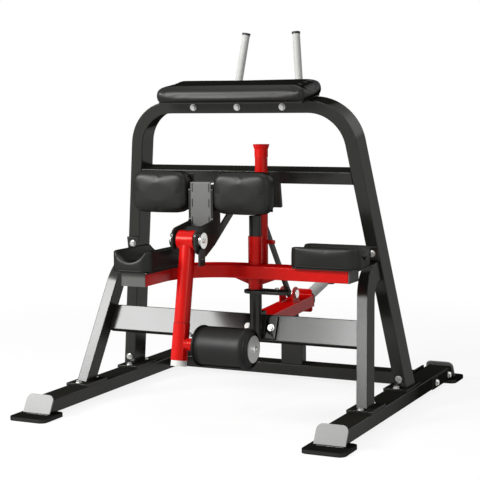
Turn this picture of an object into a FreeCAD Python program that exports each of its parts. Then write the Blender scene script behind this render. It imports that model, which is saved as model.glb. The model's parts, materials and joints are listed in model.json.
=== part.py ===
import FreeCAD
import Part
import math
import os
from types import SimpleNamespace

# Standing hamstring machine. X runs to the machine's right, Y to its rear and Z up, in millimetres.
# The origin is on the floor, at the middle of the space that the machine takes.

Vector = FreeCAD.Vector
X_AXIS = Vector(1, 0, 0)
Y_AXIS = Vector(0, 1, 0)
Z_AXIS = Vector(0, 0, 1)

SIZES = {
    # the whole: how far the feet's middle lies in front of the origin, and the overrun of every cut
    "feet_setback": 32, "overrun": 40, "tube_wall": 3, "running_gap": 0.05, "seat_gap": 0.3,
    # feet and rails
    "foot_length": 165, "foot_depth": 150, "foot_height": 15, "foot_corner": 25, "foot_overhang": 76,
    "rail_place": 611, "rail_width": 100, "rail_height": 52, "rail_half_length": 660, "end_lean": 30,
    "end_plate_width": 122, "end_plate_height": 78, "end_plate_thickness": 6, "end_plate_rise": 2,
    "end_plate_corner": 25,
    # rear crossbeam and its flanges
    "cross_front": 400, "cross_depth": 100, "cross_height": 50, "inner_flange_thickness": 8,
    "inner_flange_front": 380, "inner_flange_length": 190, "inner_flange_height": 59,
    "outer_flange_thickness": 5, "outer_flange_front": 364, "outer_flange_length": 266,
    "outer_flange_height": 48, "outer_bolt_inset": 46,
    # box post with its rubber buffer
    "arm_place": 10, "box_post_width": 100, "box_post_depth": 50, "box_post_top": 250, "buffer_radius": 22,
    "buffer_length": 60,
    # arch, in its own leaning plane
    "arch_front": 89, "arch_lean": 9.48, "arch_depth": 100, "arch_width": 50, "arch_bend_radius": 175,
    "arch_bend_place": 300, "arch_bend_height": 1036, "arch_splay": 8.6,
    "flange_width": 100, "flange_thickness": 12, "flange_bolt_inset": 18,
    "arch_flange_front": 39, "arch_flange_length": 175,
    "crossbar_height": 903, "crossbar_tall": 50,
    "hanger_left": 119, "hanger_width": 41, "hanger_thickness": 17, "hanger_drop": 99,
    # front legs, which lean back and splay, and their tabs on the arch
    "leg_width": 45, "leg_depth": 75, "leg_lean": 21.55, "leg_splay": 8.03, "leg_foot_place": 620.3,
    "leg_foot_y": -325.6, "leg_top": 552, "leg_bend_radius": 140,
    "leg_flange_front": -370, "leg_flange_length": 159,
    "tab_inner": 509, "tab_width": 54, "tab_height": 58, "tab_thickness": 8, "tab_bolt_low": 31,
    # front crossbeam
    "beam_low": 324, "beam_tall": 105, "beam_depth": 50, "beam_setback": 50,
    # upright post and its mount
    "post_x": 128, "post_y": -223, "post_radius": 24, "post_wall": 5, "post_low": 290, "post_top": 775,
    "post_cap_height": 6,
    "mount_width": 146, "mount_low": 330, "mount_tall": 91, "mount_thickness": 10, "mount_bolt_place": 50,
    "mount_bolt_low": 44, "mount_block_width": 48,
    # swivel
    "index_low": 474, "index_thickness": 12, "index_reach": 146, "index_radius": 39, "index_hub_radius": 45,
    "washer_thickness": 3, "sleeve_radius": 28, "sleeve_bore": 26, "sleeve_top": 696, "bush_length": 40,
    "arm_low": 534, "arm_tall": 50, "arm_width": 100, "arm_wall": 4, "right_arm_length": 405,
    "left_arm_length": 63, "arm_bend_radius": 250, "left_arm_reach": 155, "arm_cap_thickness": 4,
    "gusset_reach": 75, "gusset_low": 505, "gusset_thickness": 10,
    "handle_offset": 60, "handle_radius": 25, "handle_wall": 3, "handle_top": 1018, "grip_low": 1000,
    "grip_radius": 26.5, "grip_neck_top": 1030, "grip_head_radius": 33, "grip_head_height": 20,
    "peg_height": 668, "peg_radius": 8, "peg_length": 30,
    "stop_bolt_x": 79, "stop_bolt_y": 28, "stop_bolt_radius": 5, "stop_head_radius": 8,
    "stop_head_height": 7,
    "knee_length": 290, "knee_width": 168, "knee_tall": 80, "knee_corner": 42, "knee_board": 6,
    "knee_board_inset": 12, "trough_width": 126, "trough_depth": 40, "left_knee_shift": 47,
    "right_knee_shift": 316, "arm_bolt_radius": 12, "arm_bolt_height": 10,
    # thigh assembly
    "thigh_x": -26, "ear_gap": 88, "ear_thickness": 8, "pivot_y": -490, "pivot_z": 700, "ear_radius": 43,
    "cover_front": -385, "cover_low": 742, "cover_tall": 170, "cover_wall": 3, "cover_return": 50,
    "cover_low_return": 8,
    "thigh_pad_width": 242, "thigh_pad_tall": 165, "thigh_pad_thick": 65, "thigh_pad_front": -410,
    "thigh_pad_low": 790, "thigh_pad_gap": 2, "thigh_board": 8, "thigh_board_inset": 12,
    "thigh_pad_corner": 30,
    # top pad and handles
    "top_pad_length": 650, "top_pad_depth": 212, "top_pad_front": -87, "top_pad_thick": 70, "top_board": 10,
    "top_board_inset": 14, "top_pad_corner": 24,
    "handle_bar_radius": 16, "handle_bar_wall": 2.5, "handle_low_x": 146, "handle_top_x": 114,
    "handle_root_height": 1208, "handle_knee_y": 186, "handle_knee_z": 1229, "handle_top_y": 222,
    "handle_top_z": 1492, "handle_bend": 55, "handle_cap_radius": 17.5, "handle_cap_height": 9,
    # lever
    "lever_lean": 11, "hub_radius": 36.5, "hub_width": 70, "shaft_radius": 12.5, "bearing_radius": 21,
    "bearing_depth": 24, "hub_bore": 13.5, "pivot_cap_radius": 30, "pivot_cap_thickness": 14,
    "crank_radius": 45.9, "crank_angle": -10, "crank_cheek": 10, "crank_eye": 13, "crank_gap": 20,
    "hub_flat": 18, "hub_flat_angle": 53, "pin_radius": 6,
    "lever_tube_radius": 30, "lever_tube_wall": 5, "lever_tube_length": 311.7,
    "leg_sleeve_radius": 31.5, "leg_sleeve_length": 139.5, "spindle_radius": 15, "leg_cap_radius": 30,
    "leg_cap_height": 21, "lug_thickness": 8, "lug_width": 42, "lug_low": 605, "lug_top": 669,
    "lug_hole": 6,
    "roller_drop": 389.2, "roller_radius": 75, "roller_left": 50, "roller_length": 222,
    "roller_corner": 22, "roller_core_radius": 18, "axle_radius": 12.5, "axle_collar_radius": 22,
    "axle_collar": 4, "stub_radius": 23, "end_disc_radius": 50, "end_disc_thickness": 5,
    "sleeve_pin_drop": 350, "sleeve_pin_radius": 5, "sleeve_knob_radius": 12, "sleeve_knob_length": 16, "sleeve_house": 14,
    # linkage
    "rod_bar": 12, "rod_tall": 14, "rod_eye": 12,
    "crank2_y": -37.8, "crank2_z": 794.6, "input_radius": 85.9, "input_angle": 86, "output_radius": 77.8,
    "output_angle": 19, "crank2_plate": 8, "crank2_hub": 17, "crank2_shaft": 10, "crank2_eye": 12,
    "fork_slack": 2, "hanger_plate": 8, "hanger_half_width": 18,
    "link_thick": 14, "link_wide": 25, "link_eye": 16,
    # weight arm
    "arm_pivot_y": -70, "arm_pivot_z": 301, "arm_slope": 2.86, "weight_arm_width": 100,
    "weight_arm_tall": 50, "weight_arm_nose": 25, "weight_arm_overhang": 114.4, "weight_plate_width": 80,
    "weight_plate_tall": 105, "weight_plate_thickness": 8, "weight_plate_corner": 12,
    "bracket_thickness": 10, "bracket_radius": 25, "bracket_gap": 2,
    "clevis_y": 448.6, "clevis_z": 61.7, "clevis_pin_radius": 8, "clevis_ear": 8, "clevis_gap": 52,
    "clevis_half_width": 33, "clevis_top_radius": 30, "clevis_cap_radius": 18, "clevis_cap_thickness": 6,
    "horn_tilt": 12.9, "horn_radius": 24.5, "horn_root_radius": 26, "horn_wall": 4, "horn_end": 800,
    "stopper_radius": 44, "stopper_thickness": 12, "stopper_gap": 10, "horn_cap_radius": 24,
    "horn_cap_thickness": 12,
    # bolts
    "bolt_head_radius": 11, "bolt_head_height": 8, "bolt_washer_radius": 14, "bolt_washer_height": 2,
    "pad_bolt_place": 195, "arch_bolt_height": 116,
}


def make_sheet(document, sizes):
    """Write the sizes into a spreadsheet, one row each, with the name as the alias."""
    sheet = document.addObject("Spreadsheet::Sheet", "Sizes")
    for row, (name, value) in enumerate(sizes.items(), start=1):
        sheet.set(f"A{row}", name)
        sheet.set(f"B{row}", str(value))
        sheet.setAlias(f"B{row}", name)
    document.recompute()
    return sheet


doc = FreeCAD.newDocument("standing_hamstring_machine")
sheet = make_sheet(doc, SIZES)
size = SimpleNamespace(**{name: float(sheet.get(name)) for name in SIZES})
nodes = []


def sine(angle):
    """Sine of an angle in degrees."""
    return math.sin(math.radians(angle))


def cosine(angle):
    """Cosine of an angle in degrees."""
    return math.cos(math.radians(angle))


def tangent(angle):
    """Tangent of an angle in degrees."""
    return math.tan(math.radians(angle))


def frame(y, z, angle=0, x=0, axis=X_AXIS):
    """A local frame: its origin in the machine's own space, turned about an axis."""
    return FreeCAD.Placement(Vector(x, y - size.feet_setback, z), FreeCAD.Rotation(axis, angle))


# The leaning planes and turning groups that pieces are placed in.
MACHINE = frame(0, 0)
ARCH = frame(size.arch_front, 0, size.arch_lean)
LEG_FACE_Y = size.leg_foot_y - size.leg_depth / 2 / cosine(size.leg_lean)
FRONT = frame(LEG_FACE_Y, 0, -size.leg_lean)
LEVER = frame(size.pivot_y, size.pivot_z, -size.lever_lean)
CRANK = frame(size.pivot_y, size.pivot_z, size.crank_angle)
INPUT_ARM = frame(size.crank2_y, size.crank2_z, size.input_angle)
OUTPUT_ARM = frame(size.crank2_y, size.crank2_z, size.output_angle)
WEIGHT_ARM = frame(size.arm_pivot_y, size.arm_pivot_z, size.arm_slope)


def bind(item, **sizes):
    """Tie properties of a piece to expressions of the sheet's names, or set those that are worked out."""
    for name, text in sizes.items():
        if isinstance(text, float):
            setattr(item, name, text)
            continue
        words = []
        for word in text.split():
            words.append(f"Sizes.{word}" if word in SIZES else word)
        item.setExpression(name, " ".join(words))


def box(name, lengths, corner, at=None):
    """A block of three bound lengths, from its lowest corner in a frame."""
    item = doc.addObject("Part::Box", name)
    bind(item, Length=lengths[0], Width=lengths[1], Height=lengths[2])
    item.Placement = (at or MACHINE) * FreeCAD.Placement(Vector(*corner), FreeCAD.Rotation())
    return item


ALONG = {
    "x": FreeCAD.Rotation(Y_AXIS, 90),
    "y": FreeCAD.Rotation(X_AXIS, -90),
    "z": FreeCAD.Rotation(),
}


def rod(name, radius, length, axis, start, at=None):
    """A cylinder of bound radius and length, from its start point along an axis of a frame."""
    item = doc.addObject("Part::Cylinder", name)
    bind(item, Radius=radius, Height=length)
    item.Placement = (at or MACHINE) * FreeCAD.Placement(Vector(*start), ALONG[axis])
    return item


def cut(name, base, *tools):
    """The base with the tools taken away."""
    tool = tools[0] if len(tools) == 1 else join(name + "Tools", *tools)
    item = doc.addObject("Part::Cut", name)
    item.Base = base
    item.Tool = tool
    return item


def common(name, first, second):
    """What two solids share."""
    item = doc.addObject("Part::Common", name)
    item.Base = first
    item.Tool = second
    return item


def join(name, *parts):
    """Solids welded into one."""
    item = doc.addObject("Part::MultiFuse", name)
    item.Shapes = list(parts)
    item.Refine = True
    return item


def group(name, *parts):
    """Separate solids that share one node."""
    item = doc.addObject("Part::Compound", name)
    item.Links = list(parts)
    return item


def mirrored(name, source):
    """The same piece on the machine's other side."""
    item = doc.addObject("Part::Mirroring", name)
    item.Source = source
    item.Normal = X_AXIS
    item.Base = Vector(0, 0, 0)
    return item


def node(label, item):
    """Name a finished sub-part."""
    item.Label = label
    nodes.append(item)
    return item


def rounded(corners):
    """Edges of a closed outline from (u, v, radius) corners, each round one an arc."""
    ends = []
    arcs = []
    count = len(corners)
    for index, (u, v, radius) in enumerate(corners):
        here = Vector(u, v, 0)
        back = Vector(corners[index - 1][0], corners[index - 1][1], 0) - here
        ahead = Vector(corners[(index + 1) % count][0], corners[(index + 1) % count][1], 0) - here
        if radius == 0:
            ends.append((here, here))
            arcs.append(None)
            continue
        half = back.getAngle(ahead) / 2
        reach = radius / math.tan(half)
        start = here + back.normalize() * reach
        finish = here + ahead.normalize() * reach
        inward = (back + ahead).normalize()
        middle = here + inward * (radius / math.sin(half) - radius)
        ends.append((start, finish))
        arcs.append(Part.Arc(start, middle, finish))
    edges = []
    for index in range(count):
        if arcs[index]:
            edges.append(arcs[index])
        start = ends[index][1]
        finish = ends[(index + 1) % count][0]
        if start.distanceToPoint(finish) > 1e-6:
            edges.append(Part.LineSegment(start, finish))
    return edges


# Each plane's sketch directions, and whether a pad must be reversed to grow towards the positive axis.
REVERSED = {"XY_Plane": False, "XZ_Plane": True, "YZ_Plane": False}


def padded(name, plane, edges, thickness, origin, at=None, midplane=False):
    """A body padded from an outline on one of its planes, by a bound thickness."""
    body = doc.addObject("PartDesign::Body", name)
    sketch = body.newObject("Sketcher::SketchObject", name + "Sketch")
    support = [feature for feature in body.Origin.OriginFeatures if feature.Role == plane][0]
    sketch.AttachmentSupport = [(support, "")]
    sketch.MapMode = "FlatFace"
    sketch.addGeometry(edges, False)
    pad = body.newObject("PartDesign::Pad", name + "Pad")
    pad.Profile = sketch
    bind(pad, Length=thickness)
    pad.Reversed = REVERSED[plane]
    pad.Midplane = midplane
    body.Tip = pad
    body.Placement = (at or MACHINE) * FreeCAD.Placement(Vector(*origin), FreeCAD.Rotation())
    return body


def feature(name, shape):
    """A piece whose form is worked out from the sheet's sizes."""
    item = doc.addObject("Part::Feature", name)
    item.Shape = shape
    return item


def bolt(name, at, place, axis="z", outward=1):
    """A hexagon head on its washer, seated on a face and pointing away from it."""
    turn = {
        "x": FreeCAD.Rotation(Y_AXIS, 90 * outward),
        "y": FreeCAD.Rotation(X_AXIS, -90 * outward),
        "z": FreeCAD.Rotation(X_AXIS, 0 if outward > 0 else 180),
    }[axis]
    seat = at * FreeCAD.Placement(Vector(*place), turn)
    washer = doc.addObject("Part::Cylinder", name + "Washer")
    bind(washer, Radius="bolt_washer_radius", Height="bolt_washer_height")
    washer.Placement = seat
    head = doc.addObject("Part::Prism", name + "Head")
    head.Polygon = 6
    bind(head, Circumradius="bolt_head_radius", Height="bolt_head_height")
    head.Placement = seat * FreeCAD.Placement(Vector(0, 0, size.bolt_washer_height), FreeCAD.Rotation())
    return join(name, washer, head)


# Base

def make_rail(name):
    """A hollow rail on the right, its ends cut to the lean of the end plates."""
    half = size.rail_half_length
    top_half = half - size.rail_height * tangent(size.end_lean)
    outer = doc.addObject("Part::Wedge", name + "Outer")
    width = size.rail_width / 2
    outer.Xmin, outer.Xmax, outer.X2min, outer.X2max = -width, width, -width, width
    outer.Ymin = 0
    bind(outer, Ymax="rail_height")
    outer.Zmin, outer.Zmax, outer.Z2min, outer.Z2max = -half, half, -top_half, top_half
    place = Vector(size.rail_place, 0, size.foot_height)
    outer.Placement = MACHINE * FreeCAD.Placement(place, FreeCAD.Rotation(X_AXIS, 90))
    inner = box(
        name + "Hollow",
        ("rail_width - 2 * tube_wall", "2 * rail_half_length + 2 * overrun", "rail_height - 2 * tube_wall"),
        (size.rail_place - width + size.tube_wall, -half - size.overrun, size.foot_height + size.tube_wall),
    )
    return cut(name, outer, inner)


right_rail = node("rail_right", make_rail("RailRight"))
node("rail_left", mirrored("RailLeft", right_rail))


def make_end_plates(name, end):
    """The two leaning plates that close the rails at one end, with round top corners."""
    half = size.end_plate_width / 2
    top = size.end_plate_rise + size.end_plate_height
    low = size.end_plate_rise
    edges = rounded([
        (-half, low, 0), (half, low, 0),
        (half, top, size.end_plate_corner), (-half, top, size.end_plate_corner),
    ])
    lean = frame(end * size.rail_half_length, size.foot_height, end * size.end_lean)
    shift = 0 if end > 0 else -size.end_plate_thickness
    right = padded(name + "Right", "XZ_Plane", edges, "end_plate_thickness", (size.rail_place, shift, 0),
                   lean)
    left = mirrored(name + "Left", right)
    return group(name, left, right)


node("rail_end_plates", group("RailEndPlates", make_end_plates("FrontEndPlates", -1),
                              make_end_plates("RearEndPlates", 1)))


def make_feet():
    """Four rubber pads under the rails' ends."""
    half_x = size.foot_length / 2
    half_y = size.foot_depth / 2
    round_corner = size.foot_corner
    edges = rounded([
        (-half_x, -half_y, round_corner), (half_x, -half_y, round_corner),
        (half_x, half_y, round_corner), (-half_x, half_y, round_corner),
    ])
    feet = []
    for end, side_name in ((-1, "Front"), (1, "Rear")):
        place = (size.rail_place, end * (size.rail_half_length + size.foot_overhang - half_y), 0)
        foot = padded(f"Foot{side_name}Right", "XY_Plane", edges, "foot_height", place)
        feet += [foot, mirrored(f"Foot{side_name}Left", foot)]
    return group("FootPads", *feet)


node("foot_pads", make_feet())

rail_inner = size.rail_place - size.rail_width / 2
rail_top = size.foot_height + size.rail_height
cross_low = rail_top - size.cross_height
cross_half = rail_inner - size.inner_flange_thickness

node("rear_crossbeam", cut(
    "RearCrossbeam",
    box("RearCrossbeamOuter",
        ("2 * rail_place - rail_width - 2 * inner_flange_thickness", "cross_depth", "cross_height"),
        (-cross_half, size.cross_front, cross_low)),
    box("RearCrossbeamHollow",
        ("2 * rail_place - rail_width + 2 * overrun", "cross_depth - 2 * tube_wall",
         "cross_height - 2 * tube_wall"),
        (-rail_inner - size.overrun, size.cross_front + size.tube_wall, cross_low + size.tube_wall)),
))


def make_cross_flanges():
    """Plates between the crossbeam's ends and the rails, and plates bolted outside the rails."""
    inner = box("InnerFlangeRight",
                ("inner_flange_thickness", "inner_flange_length", "inner_flange_height"),
                (cross_half, size.inner_flange_front, cross_low))
    outer = box("OuterFlangeRight",
                ("outer_flange_thickness", "outer_flange_length", "outer_flange_height"),
                (size.rail_place + size.rail_width / 2, size.outer_flange_front, size.foot_height))
    return group("CrossbeamFlanges", inner, outer, mirrored("InnerFlangeLeft", inner),
                 mirrored("OuterFlangeLeft", outer))


node("crossbeam_flanges", make_cross_flanges())

post_left = size.arm_place - size.box_post_width / 2
node("box_post", cut(
    "BoxPost",
    box("BoxPostOuter", ("box_post_width", "box_post_depth", "box_post_top - foot_height - rail_height"),
        (post_left, size.cross_front, rail_top)),
    box("BoxPostHollow",
        ("box_post_width - 2 * tube_wall", "box_post_depth - 2 * tube_wall",
         "box_post_top - foot_height - rail_height - tube_wall + overrun"),
        (post_left + size.tube_wall, size.cross_front + size.tube_wall, rail_top - size.overrun)),
))

buffer_y = (size.cross_front + size.box_post_depth / 2 - size.arm_pivot_y) / cosine(size.arm_slope)
weight_arm_length = buffer_y + size.weight_arm_overhang
node("weight_buffer", cut(
    "WeightBuffer",
    rod("BufferRubber", "buffer_radius", "buffer_length", "z",
        (size.arm_place, buffer_y, -size.weight_arm_tall / 2 - size.seat_gap - size.buffer_length),
        WEIGHT_ARM),
    box("BufferTrim", ("box_post_width", "box_post_width", "overrun"),
        (post_left, size.cross_front - size.box_post_depth / 2, size.box_post_top - size.overrun)),
))

# Arch

arch_leg_cut = box("FloorCut", ("4 * rail_half_length", "2 * rail_half_length", "8 * overrun"),
                   (-2 * size.rail_half_length, -size.rail_half_length, rail_top + size.flange_thickness
                    - 8 * size.overrun))


def arch_edges(half):
    """The arch's outline at half a tube width each side of its centre line."""
    turn = size.arch_splay
    bend_x = size.arch_bend_place
    bend_z = size.arch_bend_height
    outer = size.arch_bend_radius + half
    inner = size.arch_bend_radius - half
    length = bend_z / cosine(turn)
    points = {}
    for side in (-1, 1):
        for label, radius in (("outer", outer), ("inner", inner)):
            end = Vector(side * (bend_x + radius * cosine(turn)), bend_z + radius * sine(turn), 0)
            middle_turn = (90 + turn) / 2
            middle = Vector(side * (bend_x + radius * cosine(middle_turn)),
                            bend_z + radius * sine(middle_turn), 0)
            top = Vector(side * bend_x, bend_z + radius, 0)
            foot = end + Vector(side * sine(turn), -cosine(turn), 0) * length
            points[side, label] = (foot, end, middle, top)
    edges = []
    for label in ("outer", "inner"):
        foot, end, middle, top = points[-1, label]
        edges += [Part.LineSegment(foot, end), Part.Arc(end, middle, top)]
        foot_right, end_right, middle_right, top_right = points[1, label]
        edges += [Part.LineSegment(top, top_right), Part.Arc(top_right, middle_right, end_right)]
        edges.append(Part.LineSegment(end_right, foot_right))
    for side in (-1, 1):
        edges.append(Part.LineSegment(points[side, "outer"][0], points[side, "inner"][0]))
    return edges


arch_solid = padded("ArchOuter", "XZ_Plane", arch_edges(size.arch_width / 2), "arch_depth", (0, 0, 0), ARCH)
arch_hollow = padded("ArchHollow", "XZ_Plane", arch_edges(size.arch_width / 2 - size.tube_wall),
                     "arch_depth - 2 * tube_wall", (0, size.tube_wall, 0), ARCH)
node("arch_tube", cut("ArchTube", arch_solid, arch_hollow, arch_leg_cut))


def make_flanges(name, front, length_name):
    """Flat plates that seat a pair of feet on the rails."""
    plate = box(name + "Right", ("flange_width", length_name, "flange_thickness"),
                (size.rail_place - size.flange_width / 2, front, rail_top))
    return group(name, plate, mirrored(name + "Left", plate))


node("rail_flanges", group(
    "RailFlanges",
    make_flanges("ArchFlanges", size.arch_flange_front, "arch_flange_length"),
    make_flanges("LegFlanges", size.leg_flange_front, "leg_flange_length"),
))


def arch_inner_x(height):
    """Half the clear width between the arch's legs, at a height in its plane."""
    turn = size.arch_splay
    radius = size.arch_bend_radius - size.arch_width / 2
    end_x = size.arch_bend_place + radius * cosine(turn)
    end_z = size.arch_bend_height + radius * sine(turn)
    return end_x + (end_z - height) * tangent(turn)


def make_crossbar():
    """The hollow bar across the arch under the pads."""
    low = size.crossbar_height
    high = low + size.crossbar_tall
    corners = [(-arch_inner_x(low), low, 0), (arch_inner_x(low), low, 0), (arch_inner_x(high), high, 0),
               (-arch_inner_x(high), high, 0)]
    outer = padded("CrossbarOuter", "XZ_Plane", rounded(corners), "arch_depth", (0, 0, 0), ARCH)
    hollow = box("CrossbarHollow",
                 ("4 * arch_bend_place", "arch_depth - 2 * tube_wall", "crossbar_tall - 2 * tube_wall"),
                 (-2 * size.arch_bend_place, size.tube_wall, low + size.tube_wall), ARCH)
    hanger = box("HangerBracket", ("hanger_width", "hanger_thickness", "hanger_drop"),
                 (size.hanger_left, 0, size.crossbar_height - size.hanger_drop), ARCH)
    return join("UpperCrossbar", cut("CrossbarTube", outer, hollow), hanger)


node("upper_crossbar", make_crossbar())


# Front legs

def leg_edges(half):
    """A leg's side outline: up and back, then round to the arch."""
    lean = math.degrees(math.atan(tangent(size.leg_lean) * cosine(size.leg_splay)))
    turn = 90 - lean
    radius = size.leg_bend_radius
    top = size.leg_top / cosine(size.leg_splay)
    direction = Vector(sine(lean), cosine(lean), 0)
    foot = Vector(size.leg_foot_y, 0, 0)
    rise = radius * (1 - cosine(turn))
    bend_start = foot + direction * ((top - rise) / direction.y)
    centre = bend_start + Vector(cosine(lean), -sine(lean), 0) * radius
    end_y = size.arch_front
    lines = []
    for offset in (half, -half):
        ring = radius + offset
        start = foot + Vector(-cosine(lean), sine(lean), 0) * offset
        first = centre + Vector(-cosine(lean), sine(lean), 0) * ring
        middle = centre + Vector(-cosine((90 + lean) / 2), sine((90 + lean) / 2), 0) * ring
        last = centre + Vector(0, ring, 0)
        end = Vector(end_y, last.y, 0)
        lines.append((start, first, middle, last, end))
    edges = []
    for start, first, middle, last, end in lines:
        edges += [Part.LineSegment(start, first), Part.Arc(first, middle, last),
                  Part.LineSegment(last, end)]
    edges.append(Part.LineSegment(lines[0][0], lines[1][0]))
    edges.append(Part.LineSegment(lines[0][4], lines[1][4]))
    return edges


SPLAY = frame(0, 0, -size.leg_splay, size.leg_foot_place, Y_AXIS)
behind_arch = box("BehindArch", ("4 * rail_half_length", "rail_half_length", "2 * rail_half_length"),
                  (-2 * size.rail_half_length, 0, 0), ARCH)
leg_solid = padded("LegOuter", "YZ_Plane", leg_edges(size.leg_depth / 2), "leg_width", (0, 0, 0), SPLAY,
                   True)
leg_hollow = padded("LegHollow", "YZ_Plane", leg_edges(size.leg_depth / 2 - size.tube_wall),
                    "leg_width - 2 * tube_wall", (0, 0, 0), SPLAY, True)
right_leg = node("front_leg_right", cut("FrontLegRight", leg_solid, leg_hollow, behind_arch, arch_leg_cut))
node("front_leg_left", mirrored("FrontLegLeft", right_leg))

# The tabs stand on the arch just above the crown of each leg's bend.
leg_crown = size.leg_top + size.leg_depth / 2 * cosine(size.leg_splay)
leg_crown += size.leg_width / 2 * sine(size.leg_splay)
tab_low = (leg_crown + size.seat_gap + size.tab_thickness * sine(size.arch_lean)) / cosine(size.arch_lean)
right_tab = box("TabRight", ("tab_width", "tab_thickness", "tab_height"),
                (size.tab_inner, -size.tab_thickness, tab_low), ARCH)
node("leg_tabs", group("LegTabs", right_tab, mirrored("TabLeft", right_tab)))


# Front crossbeam

def make_front_crossbeam():
    """The hollow beam between the front legs, its ends cut to their inner sides."""
    wide = 2 * size.leg_foot_place
    outer = box("FrontBeamOuter", ("2 * leg_foot_place", "beam_depth", "beam_tall"),
                (-wide / 2, size.beam_setback, size.beam_low), FRONT)
    hollow = box("FrontBeamHollow", ("2 * leg_foot_place", "beam_depth - 2 * tube_wall",
                                     "beam_tall - 2 * tube_wall"),
                 (-wide / 2, size.beam_setback + size.tube_wall, size.beam_low + size.tube_wall), FRONT)
    beyond = box("BeyondRightLeg", ("rail_half_length", "2 * rail_half_length", "2 * rail_half_length"),
                 (-size.leg_width / 2, -size.rail_half_length, 0), SPLAY)
    return cut("FrontCrossbeam", outer, hollow, beyond, mirrored("BeyondLeftLeg", beyond))


node("front_crossbeam", make_front_crossbeam())

# Upright post

post_length = "post_top - post_low"
post_room_length = "post_top - post_low - post_cap_height + overrun"
post_solid = rod("PostOuter", "post_radius", post_length, "z", (size.post_x, size.post_y, size.post_low))
post_hollow = rod("PostHollow", "post_radius - post_wall", post_room_length, "z",
                  (size.post_x, size.post_y, size.post_low - size.overrun))
node("central_post", cut("CentralPost", post_solid, post_hollow))


def make_post_mount():
    """A plate on the crossbeam with a block that the post is let into."""
    plate = box("MountPlate", ("mount_width", "mount_thickness", "mount_tall"),
                (size.post_x - size.mount_width / 2, size.beam_setback - size.mount_thickness,
                 size.mount_low), FRONT)
    block = box("MountBlock", ("mount_block_width", "2 * post_radius", "mount_tall"),
                (size.post_x - size.mount_block_width / 2, size.post_y,
                 size.mount_low * cosine(size.leg_lean)))
    behind = box("BehindBeamFace", ("4 * mount_width", "4 * mount_width", "4 * mount_width"),
                 (size.post_x - 2 * size.mount_width, size.beam_setback,
                  size.mount_low - size.mount_width), FRONT)
    room = rod("MountRoom", "post_radius", "post_top - post_low", "z",
               (size.post_x, size.post_y, size.post_low))
    return cut("PostMount", join("MountWeld", plate, block), behind, room)


node("post_mount", make_post_mount())

# Swivel: index plate on the post, sleeve, beam, handle and knee pads

index_hole = rod("IndexHole", "post_radius", "index_thickness + 2 * overrun", "z",
                 (size.post_x, size.post_y, size.index_low - size.overrun))


def make_index_plate():
    """A pear-shaped plate fixed on the post, narrower towards its far end."""
    tip_x = size.index_reach - size.index_radius
    spread = math.degrees(math.asin((size.index_hub_radius - size.index_radius) / tip_x))
    hub = size.index_hub_radius
    tip = size.index_radius
    hub_top = Vector(hub * sine(spread), hub * cosine(spread), 0)
    tip_top = Vector(tip_x + tip * sine(spread), tip * cosine(spread), 0)
    hub_low = Vector(hub_top.x, -hub_top.y, 0)
    tip_low = Vector(tip_top.x, -tip_top.y, 0)
    edges = [
        Part.Arc(hub_top, Vector(-hub, 0, 0), hub_low), Part.LineSegment(hub_low, tip_low),
        Part.Arc(tip_low, Vector(tip_x + tip, 0, 0), tip_top), Part.LineSegment(tip_top, hub_top),
    ]
    return padded("IndexBlank", "XY_Plane", edges, "index_thickness",
                  (size.post_x, size.post_y, size.index_low))


stop_bolt_x = size.post_x + size.stop_bolt_x
stop_bolt_y = size.post_y + size.stop_bolt_y
stop_bolt_hole = rod("StopBoltHole", "stop_bolt_radius", "index_thickness + 2 * overrun", "z",
                     (stop_bolt_x, stop_bolt_y, size.index_low - size.overrun))
node("index_plate", cut("IndexPlate", make_index_plate(), index_hole, stop_bolt_hole))
node("index_stop_bolt", join(
    "IndexStopBolt",
    rod("StopBoltShank", "stop_bolt_radius", "index_thickness", "z",
        (stop_bolt_x, stop_bolt_y, size.index_low)),
    rod("StopBoltHead", "stop_head_radius", "stop_head_height", "z",
        (stop_bolt_x, stop_bolt_y, size.index_low + size.index_thickness)),
    rod("StopBoltNut", "stop_head_radius", "stop_head_height", "z",
        (stop_bolt_x, stop_bolt_y, size.index_low - size.stop_head_height)),
))

index_top = size.index_low + size.index_thickness
sleeve_low = index_top + size.seat_gap + size.washer_thickness
sleeve_long = "sleeve_top - index_low - index_thickness - washer_thickness - seat_gap"


def make_gussets():
    """Two webs under the beam, one each side of the sleeve."""
    inner = size.sleeve_radius - size.gusset_thickness / 2
    outer = size.sleeve_radius + size.gusset_reach
    corners = [(inner, size.gusset_low, 0), (inner, size.arm_low, 0), (outer, size.arm_low, 0)]
    shift = size.gusset_thickness / 2
    webs = []
    for label, side in (("Right", 1), ("Left", -1)):
        edges = rounded([(side * u, v, radius) for u, v, radius in corners])
        webs.append(padded("Gusset" + label, "XZ_Plane", edges, "gusset_thickness",
                           (size.post_x, size.post_y - shift, 0)))
    return webs


node("swivel_sleeve", cut(
    "SwivelSleeve",
    join("SleeveWeld",
         rod("SleeveOuter", "sleeve_radius", sleeve_long, "z", (size.post_x, size.post_y, sleeve_low)),
         *make_gussets()),
    rod("SleeveBore", "sleeve_bore", sleeve_long + " + 2 * overrun", "z",
        (size.post_x, size.post_y, sleeve_low - size.overrun)),
))


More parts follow.
